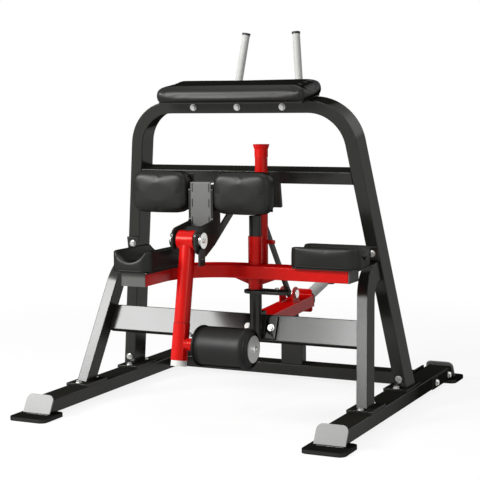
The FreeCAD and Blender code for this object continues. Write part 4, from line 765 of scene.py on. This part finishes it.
@dataclass(frozen=True)
class Coat:
    """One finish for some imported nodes, and the round that their edges get.

    Edges that turn by more than `sharpest` degrees are rounded, over `width` metres. A width of zero leaves
    them sharp. Where gentle edges are rounded too, flat faces are joined first and rounds may meet.
    """

    finish: Finish
    width: float
    sharpest: float
    nodes: tuple[str, ...]

    GENTLE_DEGREES: ClassVar[float] = 45
    FLAT_DEGREES: ClassVar[float] = 0.5
    SEGMENTS: ClassVar[int] = 3
    FACE_WEIGHT: ClassVar[int] = 100

    def soften(self, piece: bpy.types.Object) -> None:
        """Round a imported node's edges as drawn tube and cut plate have them.

        Args:
            piece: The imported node.
        """
        shade_smooth(piece)
        merge = piece.modifiers.new("Merge", "WELD")
        merge.merge_threshold = TOUCHING
        if self.width == 0:
            parted = piece.modifiers.new("Parted", "EDGE_SPLIT")
            parted.split_angle = math.radians(self.sharpest)
            return
        gentle = self.sharpest < self.GENTLE_DEGREES
        if gentle:
            flatten = piece.modifiers.new("Flatten", "DECIMATE")
            flatten.decimate_type = "DISSOLVE"
            flatten.angle_limit = math.radians(self.FLAT_DEGREES)
        edge = piece.modifiers.new("Edge", "BEVEL")
        edge.width = self.width
        edge.segments = self.SEGMENTS
        edge.limit_method = "ANGLE"
        edge.angle_limit = math.radians(self.sharpest)
        edge.use_clamp_overlap = not gentle
        level = piece.modifiers.new("Level", "WEIGHTED_NORMAL")
        level.keep_sharp = False
        level.weight = self.FACE_WEIGHT


class PackedNodes:
    """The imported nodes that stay: their finishes and the rounds of their edges."""

    COATS = (
        Coat(FRAME_COAT, 0.0035, 32, ("rail_right", "rail_left", "rear_crossbeam", "arch_tube",
                                      "upper_crossbar", "front_leg_right", "front_leg_left",
                                      "front_crossbeam")),
        Coat(FRAME_COAT, 0.004, 32, ("box_post",)),
        Coat(FRAME_COAT, 0.0015, 40, ("crossbeam_flanges", "rail_flanges", "leg_tabs", "post_mount",
                                      "index_plate", "pad_boards", "bellcrank_hangers", "arm_brackets",
                                      "push_rod", "bellcrank", "lift_link", "knee_pad_boards")),
        Coat(FRAME_COAT, 0.0, 35, ("side_plate_left", "side_plate_right")),
        # The thigh cover's lighter colour is a painted reflection of the key lamp.
        Coat(COVER_COAT_PAINTED_REFLECTION, 0.0028, 40, ("thigh_cover",)),
        Coat(FRAME_COAT, 0.001, 60, ("central_post",)),
        Coat(END_COAT, 0.0015, 40, ("rail_end_plates",)),
        Coat(RED_COAT, 0.004, 32, ("swivel_beam",)),
        Coat(RED_COAT, 0.004, 40, ("weight_arm",)),
        Coat(RED_COAT, 0.001, 60, ("lever_hub", "lever_tube", "leg_sleeve", "swivel_sleeve",
                                   "swivel_handle")),
        Coat(RED_GRIP, 0.002, 60, ("swivel_grip",)),
        Coat(CHROME, 0.0, 35, ("pivot_shaft",)),
        Coat(CHROME, 0.0015, 60, ("clevis_pin",)),
        Coat(ZINC, 0.001, 50, ("frame_bolts",)),
        Coat(DULL_STEEL, 0.0, 35, ("weight_horn",)),
        Coat(ZINC, 0.0, 35, ("lever_bearings",)),
        Coat(ZINC, 0.0008, 60, ("index_stop_bolt", "roller_axle", "roller_end_disc", "sleeve_pin")),
        Coat(RUBBER, 0.003, 60, ("foot_pads", "weight_buffer", "horn_stopper")),
        Coat(END_CAP, 0.003, 60, ("leg_end_cap",)),
        Coat(PLASTIC, 0.0015, 60, ("handle_caps", "roller_core", "horn_cap", "swivel_bushes")),
        Coat(GREY_PLASTIC, 0.0015, 60, ("beam_end_caps",)),
    )

    def build(self, shop: Workshop) -> None:
        """Dress every node.

        Args:
            shop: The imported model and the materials.
        """
        for coat in self.COATS:
            for name in coat.nodes:
                piece = shop.frame["nodes"][name]
                shop.dress(piece, coat.finish)
                coat.soften(piece)
                log.info("%s has the finish %s", name, coat.finish.name)


@dataclass
class Padding:
    """How upholstered pads are filled: their simulation and their finish."""

    voxel: float = 0.005
    pressure: float = 4.0
    mass: float = 0.3
    stretch: float = 40.0
    shear: float = 20.0
    bending: float = 8.0
    quality: int = 4
    frames: int = 20
    swell_limit: float = 0.004
    held_height: float = 0.012
    evening: float = 0.5
    evening_rounds: int = 4
    welt_fineness: int = 2

    def swell(self, pad: bpy.types.Object) -> None:
        """Fill a block like foam under a tight cover, its foot held on the board.

        Args:
            pad: A closed block that stands on the origin.
        """
        remesh = pad.modifiers.new("Remesh", "REMESH")
        remesh.mode = "VOXEL"
        remesh.voxel_size = self.voxel
        apply_modifiers(pad)
        self.simulate(pad)
        evened = pad.modifiers.new("Even", "SMOOTH")
        evened.factor = self.evening
        evened.iterations = self.evening_rounds
        subdivide(pad)
        shade_smooth(pad)

    def simulate(self, pad: bpy.types.Object) -> None:
        """Run the cloth and write its result into the mesh.

        Args:
            pad: The remeshed block.
        """
        rest = [vertex.co.copy() for vertex in pad.data.vertices]
        foot = min(point.z for point in rest)
        low = [index for index, point in enumerate(rest) if point.z < foot + self.held_height]
        held = pad.vertex_groups.new(name="held")
        held.add(low, 1.0, "ADD")
        cloth = pad.modifiers.new("Cloth", "CLOTH")
        cloth.settings.quality = self.quality
        cloth.settings.mass = self.mass
        cloth.settings.tension_stiffness = self.stretch
        cloth.settings.compression_stiffness = self.stretch
        cloth.settings.shear_stiffness = self.shear
        cloth.settings.bending_stiffness = self.bending
        cloth.settings.use_pressure = True
        cloth.settings.uniform_pressure_force = self.pressure
        cloth.settings.effector_weights.gravity = 0
        cloth.settings.vertex_group_mass = held.name
        cloth.collision_settings.use_collision = False
        scene = bpy.context.scene
        for number in range(1, self.frames + 1):
            scene.frame_set(number)
        swollen = pad.evaluated_get(bpy.context.evaluated_depsgraph_get()).to_mesh()
        moved = [vertex.co.copy() for vertex in swollen.vertices]
        pad.modifiers.remove(cloth)
        pad.vertex_groups.clear()
        for vertex, before, after in zip(pad.data.vertices, rest, moved):
            step = after - before
            if step.length > self.swell_limit:
                step = step.normalized() * self.swell_limit
            vertex.co = before + step
        scene.frame_set(1)

    def welt(self, name: str, pad: bpy.types.Object, path: list[Vector], radius: float) -> bpy.types.Object:
        """A piped seam laid on a pad's skin.

        Args:
            name: The seam's name.
            pad: The pad, still at the origin.
            path: A closed path round the pad.
            radius: Half the piping's thickness.

        Returns:
            The piping.
        """
        skin = BVHTree.FromObject(pad, bpy.context.evaluated_depsgraph_get())
        laid = [skin.find_nearest(point)[0] for point in path]
        return make_tube(name, laid, radius, closed=True, fineness=self.welt_fineness)


@dataclass
class TopPad:
    """The long elbow pad on the arch."""

    length: float = 0.644
    depth: float = 0.206
    thick: float = 0.067
    corner: float = 0.022
    corner_faces: int = 4
    shoulder: float = 0.029
    shoulder_faces: int = 6
    sink: float = 0.001

    def build(self, shop: Workshop, padding: Padding) -> None:
        """Make the pad, with round edges above and below.

        Args:
            shop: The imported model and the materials.
            padding: How pads are filled.
        """
        low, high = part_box("top_pad")
        pad = make_block("elbow_pad", self.length, self.depth, self.thick)
        bevel_edges(pad, self.corner, self.corner_faces, Edges.UPRIGHT)
        bevel_edges(pad, self.shoulder, self.shoulder_faces)
        padding.swell(pad)
        turn = Matrix.Translation((low + high) / 2) @ Matrix.Rotation(ARCH_LEAN, 4, "X")
        put_in_place(pad, turn @ Matrix.Translation((0, 0, -self.thick / 2 - self.sink)))
        shop.add(pad, VINYL, "frame", "top_pad")


@dataclass
class ThighPad:
    """One of the two upright thigh pads, which face the front."""

    side: str
    length: float = 0.237
    tall: float = 0.160
    thick: float = 0.062
    corner: float = 0.044
    corner_faces: int = 6
    shoulder: float = 0.026
    shoulder_faces: int = 4

    def build(self, shop: Workshop, padding: Padding) -> None:
        """Make the pad.

        Args:
            shop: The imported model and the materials.
            padding: How pads are filled.
        """
        node = f"thigh_pad_{self.side}"
        low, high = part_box(node)
        pad = make_block(f"thigh_cushion_{self.side}", self.length, self.tall, self.thick)
        bevel_edges(pad, self.corner, self.corner_faces, Edges.UPRIGHT)
        bevel_edges(pad, self.shoulder, self.shoulder_faces, Edges.TOP)
        padding.swell(pad)
        back = Vector(((low.x + high.x) / 2, high.y, (low.z + high.z) / 2))
        put_in_place(pad, Matrix.Translation(back) @ Matrix.Rotation(QUARTER_TURN, 4, "X"))
        shop.add(pad, VINYL, "frame", node)


@dataclass
class KneePad:
    """One of the two knee pads, with a round trough along its top."""

    side: str
    turned: bool
    width: float = 0.165
    length: float = 0.287
    tall: float = 0.079
    corner: float = 0.042
    corner_faces: int = 5
    trough_width: float = 0.126
    trough_depth: float = 0.040
    trough_faces: int = 96
    edge_round: float = 0.004
    edge_faces: int = 2
    seam_height: float = 0.005
    seam_radius: float = 0.0022

    def build(self, shop: Workshop, padding: Padding) -> None:
        """Make the pad and its seam.

        Args:
            shop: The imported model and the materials.
            padding: How pads are filled.
        """
        node = f"knee_pad_{self.side}"
        low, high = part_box(node)
        pad = make_block(f"knee_cushion_{self.side}", self.width, self.length, self.tall)
        bevel_edges(pad, self.corner, self.corner_faces, Edges.UPRIGHT)
        self.cut_trough(pad)
        bevel_edges(pad, self.edge_round, self.edge_faces)
        padding.swell(pad)
        path = make_outline(self.width, self.length, self.corner, self.seam_height)
        seam = padding.welt(f"knee_cushion_seam_{self.side}", pad, path, self.seam_radius)
        foot = Vector(((low.x + high.x) / 2, (low.y + high.y) / 2, low.z))
        turn = Matrix.Translation(foot)
        if self.turned:
            turn = turn @ Matrix.Rotation(QUARTER_TURN, 4, "Z")
        for piece in (pad, seam):
            put_in_place(piece, turn)
        shop.add(pad, VINYL, "swivel", node)
        shop.add(seam, VINYL, "swivel")

    def cut_trough(self, pad: bpy.types.Object) -> None:
        """Scoop the pad's top with a long round bar.

        Args:
            pad: The block.
        """
        half = self.trough_width / 2
        radius = (half ** 2 + self.trough_depth ** 2) / (2 * self.trough_depth)
        height = self.tall - self.trough_depth + radius
        deselect()
        bpy.ops.mesh.primitive_cylinder_add(vertices=self.trough_faces, radius=radius, depth=2 * self.length,
                                            location=(0, 0, height), rotation=(QUARTER_TURN, 0, 0))
        bar = bpy.context.active_object
        scoop = pad.modifiers.new("Scoop", "BOOLEAN")
        scoop.operation = "DIFFERENCE"
        scoop.solver = "EXACT"
        scoop.object = bar
        apply_modifiers(pad)
        bpy.data.objects.remove(bar)


@dataclass
class Roller:
    """The foam roller that the heel pushes, and the bolt at its far end."""

    sides: int = 64
    corner: float = 0.020
    corner_faces: int = 6
    radius: float = 0.0745
    lip: float = 0.022
    dimple: float = 0.0012
    ring: float = 0.010
    smooth_degrees: float = 50
    bolt_radius: float = 0.013
    bolt_height: float = 0.008
    bolt_edge: float = 0.0012

    def build(self, shop: Workshop) -> None:
        """Make the foam and the end bolt.

        Args:
            shop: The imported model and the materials.
        """
        low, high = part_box("roller_foam")
        length = high.x - low.x
        deselect()
        bpy.ops.mesh.primitive_cylinder_add(vertices=self.sides, radius=self.radius, depth=length,
                                            location=(0, 0, 0), end_fill_type="NGON")
        foam = bpy.context.active_object
        foam.name = "roller_sleeve"
        bevel_edges(foam, self.corner, self.corner_faces)
        self.sink_ends(foam, length)
        subdivide(foam)
        smooth_by_angle(foam, self.smooth_degrees)
        put_in_place(foam, Matrix.Translation((low + high) / 2) @ Matrix.Rotation(QUARTER_TURN, 4, "Y"))
        shop.add(foam, FOAM, "roller", "roller_foam")
        self.add_bolt(shop)

    def sink_ends(self, foam: bpy.types.Object, length: float) -> None:
        """Inset the two end faces, so that the foam's skin turns in round its core.

        Args:
            foam: The foam, standing along Z.
            length: Its length.
        """
        make_active(foam)
        for face in foam.data.polygons:
            at_end = abs(abs(face.center.z) - length / 2) < NEARLY_TOUCHING
            face.select = at_end and len(face.vertices) == self.sides
        bpy.ops.object.mode_set(mode="EDIT")
        bpy.ops.mesh.select_mode(type="FACE")
        bpy.ops.mesh.inset(thickness=self.lip, depth=-self.dimple, use_individual=True)
        bpy.ops.mesh.inset(thickness=self.ring, depth=0.0, use_individual=True)
        bpy.ops.object.mode_set(mode="OBJECT")

    def add_bolt(self, shop: Workshop) -> None:
        """The bolt head on the roller's end disc.

        Args:
            shop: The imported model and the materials.
        """
        low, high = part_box("roller_end_disc")
        place = Vector((high.x, (low.y + high.y) / 2, (low.z + high.z) / 2))
        turn = Matrix.Translation(place) @ Matrix.Rotation(QUARTER_TURN, 4, "Y")
        bolt = make_bolt_head("roller_end_bolt", self.bolt_radius, self.bolt_height, self.bolt_edge, turn)
        shop.add(bolt, CHROME, "leg_sleeve")


@dataclass
class HandleBars:
    """The two bent bars behind the elbow pad."""

    radius: float = 0.016
    low_x: float = 0.146
    knee_y: float = 0.154
    root_height: float = 1.208
    knee_height: float = 1.229
    top: Point = (0.114, 0.190, 1.492)
    bend: float = 0.055
    steps: int = 12
    fineness: int = 12
    smooth_degrees: float = 40

    def path(self, root_y: float) -> list[Vector]:
        """The right bar's middle line, its bend drawn as a round.

        Args:
            root_y: Where it leaves the arch.

        Returns:
            The points from its foot to its top.
        """
        root = Vector((self.low_x, root_y, self.root_height))
        knee = Vector((self.low_x, self.knee_y, self.knee_height))
        top = Vector(self.top)
        back = (root - knee).normalized()
        ahead = (top - knee).normalized()
        half = back.angle(ahead) / 2
        reach = self.bend / math.tan(half)
        centre = knee + (back + ahead).normalized() * self.bend / math.sin(half)
        first = (knee + back * reach - centre).normalized()
        second = (knee + ahead * reach - centre).normalized()
        arc = [centre + first.slerp(second, step / self.steps) * self.bend for step in range(self.steps + 1)]
        return [root, *arc, top]

    def build(self, shop: Workshop) -> None:
        """Make both bars.

        Args:
            shop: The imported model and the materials.
        """
        low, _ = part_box("handle_right")
        right = self.path(low.y)
        for side, across in (("right", 1), ("left", -1)):
            points = [Vector((across * point.x, point.y, point.z)) for point in right]
            bar = make_tube(f"handle_bar_{side}", points, self.radius, closed=False, fineness=self.fineness)
            smooth_by_angle(bar, self.smooth_degrees)
            shop.add(bar, DULL_STEEL, "frame", f"handle_{side}")


@dataclass
class CoverSlotShades:
    """Thin black blocks along both edges of the cover between the thigh pads: painted shade where its slots
    are.
    """

    inset: float = 0.0085
    width: float = 0.0045
    proud: float = 0.0004
    rows: tuple[tuple[float, float], ...] = ((0.874, 0.908), (0.816, 0.848), (0.750, 0.780))

    def build(self, shop: Workshop) -> None:
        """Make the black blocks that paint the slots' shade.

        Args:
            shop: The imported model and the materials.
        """
        low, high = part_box("thigh_cover")
        for side, x in (("left", low.x + self.inset), ("right", high.x - self.inset)):
            for number, (bottom, top) in enumerate(self.rows):
                # Painted shade: each slot's dark opening is a black block laid just proud of the cover.
                slot = make_block(f"cover_slot_shade_{side}_{number}", self.width, 2 * self.proud, top - bottom)
                bevel_edges(slot, self.proud / 2, SMALL_EDGE_FACES)
                put_in_place(slot, Matrix.Translation((x, low.y, bottom)))
                shop.add(slot, PLASTIC, "frame")


@dataclass
class PivotCaps:
    """The dark rims and bolt heads on the two bright caps of the lever's pivot."""

    rim_radius: float = 0.0285
    rim: float = 0.0020
    rim_steps: tuple[int, int] = (64, 10)
    head_radius: float = 0.010
    head_height: float = 0.004
    head_edge: float = 0.0008

    def build(self, shop: Workshop) -> None:
        """Make a rim and a bolt head on each cap.

        Args:
            shop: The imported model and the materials.
        """
        low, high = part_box("pivot_shaft")
        for side, x, outward in (("left", low.x, -1), ("right", high.x, 1)):
            turn = Matrix.Translation((x, LEVER_PIVOT.y, LEVER_PIVOT.z))
            turn = turn @ Matrix.Rotation(outward * QUARTER_TURN, 4, "Y")
            inward = turn @ Matrix.Translation((0, 0, -self.rim))
            rim = make_ring(f"pivot_cap_rim_{side}", self.rim_radius, self.rim, self.rim_steps, inward)
            shop.add(rim, PLASTIC, "frame")
            head = make_bolt_head(f"pivot_cap_bolt_{side}", self.head_radius, self.head_height,
                                  self.head_edge, turn)
            shop.add(head, CHROME, "frame")


@dataclass
class LeverDetails:
    """The fine joint line round the lever's leg, above its turning sleeve."""

    drop: float = 0.312
    radius: float = 0.0309
    line: float = 0.0010
    steps: tuple[int, int] = (96, 8)

    def build(self, shop: Workshop) -> None:
        """Lay the joint line.

        Args:
            shop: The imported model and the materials.
        """
        turn = Matrix.Translation(LEVER_PIVOT) @ Matrix.Rotation(-LEVER_LEAN, 4, "X")
        turn = turn @ Matrix.Translation((0, 0, -self.drop))
        seam = make_ring("sleeve_joint_line", self.radius, self.line, self.steps, turn)
        shop.add(seam, RUBBER, "leg_sleeve")


@dataclass(frozen=True)
class Lamp:
    """A soft lamp with a flat lit face: its place, its size and its power in watts."""

    name: str
    place: Point
    wide: float
    tall: float
    power: float

    def build(self, target: Vector) -> None:
        """Hang the lamp.

        Args:
            target: The point that it faces.
        """
        data = bpy.data.lights.new(self.name, "AREA")
        data.shape = "RECTANGLE"
        data.size = self.wide
        data.size_y = self.tall
        data.energy = self.power
        lamp = bpy.data.objects.new(self.name, data)
        lamp.location = self.place
        lamp.rotation_mode = "QUATERNION"
        lamp.rotation_quaternion = (Vector(self.place) - target).to_track_quat("Z", "Y")
        bpy.context.scene.collection.objects.link(lamp)


@dataclass
class Studio:
    """The pale floor, the soft lamps and the camera."""

    camera_place: Point = (2.318, -4.9767, 1.220)
    azimuth: float = math.radians(25.538)
    pitch: float = math.radians(5.915)
    roll: float = math.radians(-0.484)
    sensor: float = 36.0
    focal_pixels: float = 1345.0
    picture_pixels: float = 480.0
    white: tuple[float, ...] = (1.0, 1.0, 1.0, 1.0)
    fill_grey: tuple[float, ...] = (0.12, 0.12, 0.12, 1.0)
    floor_grey: tuple[float, ...] = (0.93, 0.93, 0.93, 1.0)
    floor_roughness: float = 0.85
    floor_specular: float = 0.1
    floor_half: float = 30.0
    fade_start: float = 1.3
    fade_end: float = 3.2
    plain_share: float = 0.86
    lamp_target: Point = (0, -0.2, 0.6)
    lamps: tuple[Lamp, ...] = (
        Lamp("front_left_lamp", (-2.72, -3.50, 2.45), wide=1.9, tall=1.3, power=250.0),
        Lamp("front_middle_lamp", (-1.05, -4.05, 2.85), wide=0.50, tall=1.2, power=70.0),
        Lamp("front_right_lamp", (3.4, -2.6, 1.9), wide=1.2, tall=2.2, power=32.0),
        Lamp("overhead_lamp", (0.2, 0.4, 4.2), wide=3.0, tall=3.0, power=55.0),
        Lamp("rear_lamp", (1.3, 4.0, 2.6), wide=2.5, tall=1.5, power=16.0),
    )

    def build(self) -> None:
        """Set the stage, the camera and the lamps, placed where the frame's flat faces mirror them."""
        scene = bpy.context.scene
        scene.view_settings.view_transform = "Standard"
        self.add_camera()
        self.add_world()
        self.add_floor()
        for lamp in self.lamps:
            lamp.build(Vector(self.lamp_target))
        log.info("the studio stands")

    def add_camera(self) -> None:
        """Place the camera as the photograph's was."""
        ahead = Vector((-math.sin(self.azimuth) * math.cos(self.pitch),
                        math.cos(self.azimuth) * math.cos(self.pitch), -math.sin(self.pitch)))
        right = Vector((math.cos(self.azimuth), math.sin(self.azimuth), 0))
        above = right.cross(ahead)
        rolled_right = right * math.cos(self.roll) + above * math.sin(self.roll)
        rolled_up = above * math.cos(self.roll) - right * math.sin(self.roll)
        data = bpy.data.cameras.new("photo_camera")
        data.sensor_width = self.sensor
        data.lens = self.sensor * self.focal_pixels / self.picture_pixels
        camera = bpy.data.objects.new("photo_camera", data)
        turn = Matrix((rolled_right, rolled_up, -ahead)).transposed().to_4x4()
        camera.matrix_world = Matrix.Translation(self.camera_place) @ turn
        bpy.context.scene.collection.objects.link(camera)
        bpy.context.scene.camera = camera

    @staticmethod
    def seen_rays(tree: bpy.types.NodeTree) -> bpy.types.Node:
        """One for rays from the eye, straight, mirrored or through glass, and zero for all others.

        Args:
            tree: The nodes of a world or a material.

        Returns:
            The node that gives it.
        """
        path = add_node(tree, "LightPath")
        mirrored = add_math(tree, "MAXIMUM")
        total = add_math(tree, "MAXIMUM")
        join(tree, [
            (path, "Is Glossy Ray", mirrored, 0),
            (path, "Is Transmission Ray", mirrored, 1),
            (path, "Is Camera Ray", total, 0),
            (mirrored, 0, total, 1),
        ])
        return total

    def add_world(self) -> None:
        """White to the eye and in mirrors, and a plain grey level for light."""
        world = bpy.data.worlds.new("studio_world")
        world.use_nodes = True
        tree = world.node_tree
        tree.nodes.clear()
        seen = add_node(tree, "Background", {"Color": self.white})
        lit = add_node(tree, "Background", {"Color": self.fill_grey})
        mix = add_node(tree, "MixShader")
        out = add_node(tree, "OutputWorld")
        join(tree, [
            (self.seen_rays(tree), 0, mix, "Fac"),
            (lit, 0, mix, 1),
            (seen, 0, mix, 2),
            (mix, 0, out, "Surface"),
        ])
        bpy.context.scene.world = world

    def add_floor(self) -> None:
        """A pale floor that keeps the shadow near the machine and turns to plain white further out."""
        deselect()
        bpy.ops.mesh.primitive_plane_add(size=2 * self.floor_half, location=(0, 0, 0))
        floor = bpy.context.active_object
        floor.name = "studio_floor"
        apply_place(floor)
        material = bpy.data.materials.new("pale_floor")
        material.use_nodes = True
        tree = material.node_tree
        shader = tree.nodes["Principled BSDF"]
        shader.inputs["Base Color"].default_value = self.floor_grey
        shader.inputs["Roughness"].default_value = self.floor_roughness
        shader.inputs["Specular IOR Level"].default_value = self.floor_specular
        plain = add_node(tree, "Emission", {"Color": self.white})
        place = add_node(tree, "TexCoord")
        reach = add_math(tree, "LENGTH", kind="VectorMath")
        fade = add_node(tree, "MapRange", {"From Min": self.fade_start, "From Max": self.fade_end,
                                           "To Min": self.plain_share})
        fade.interpolation_type = "SMOOTHSTEP"
        only_seen = add_math(tree, "MULTIPLY")
        mix = add_node(tree, "MixShader")
        out = tree.nodes["Material Output"]
        join(tree, [
            (place, "Object", reach, 0),
            (reach, "Value", fade, "Value"),
            (fade, "Result", only_seen, 0),
            (self.seen_rays(tree), 0, only_seen, 1),
            (only_seen, 0, mix, "Fac"),
            (shader, 0, mix, 1),
            (plain, 0, mix, 2),
            (mix, 0, out, "Surface"),
        ])
        floor.data.materials.append(material)


def main() -> None:
    """Build the machine's looks in order."""
    logging.basicConfig(level=logging.INFO, format="%(message)s")
    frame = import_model()
    shop = Workshop(frame)
    Studio().build()
    PackedNodes().build(shop)
    padding = Padding()
    TopPad().build(shop, padding)
    for side in ("left", "right"):
        ThighPad(side).build(shop, padding)
    KneePad("left", turned=False).build(shop, padding)
    KneePad("right", turned=True).build(shop, padding)
    Roller().build(shop)
    HandleBars().build(shop)
    CoverSlotShades().build(shop)
    PivotCaps().build(shop)
    LeverDetails().build(shop)


if __name__ == "__main__":
    main()
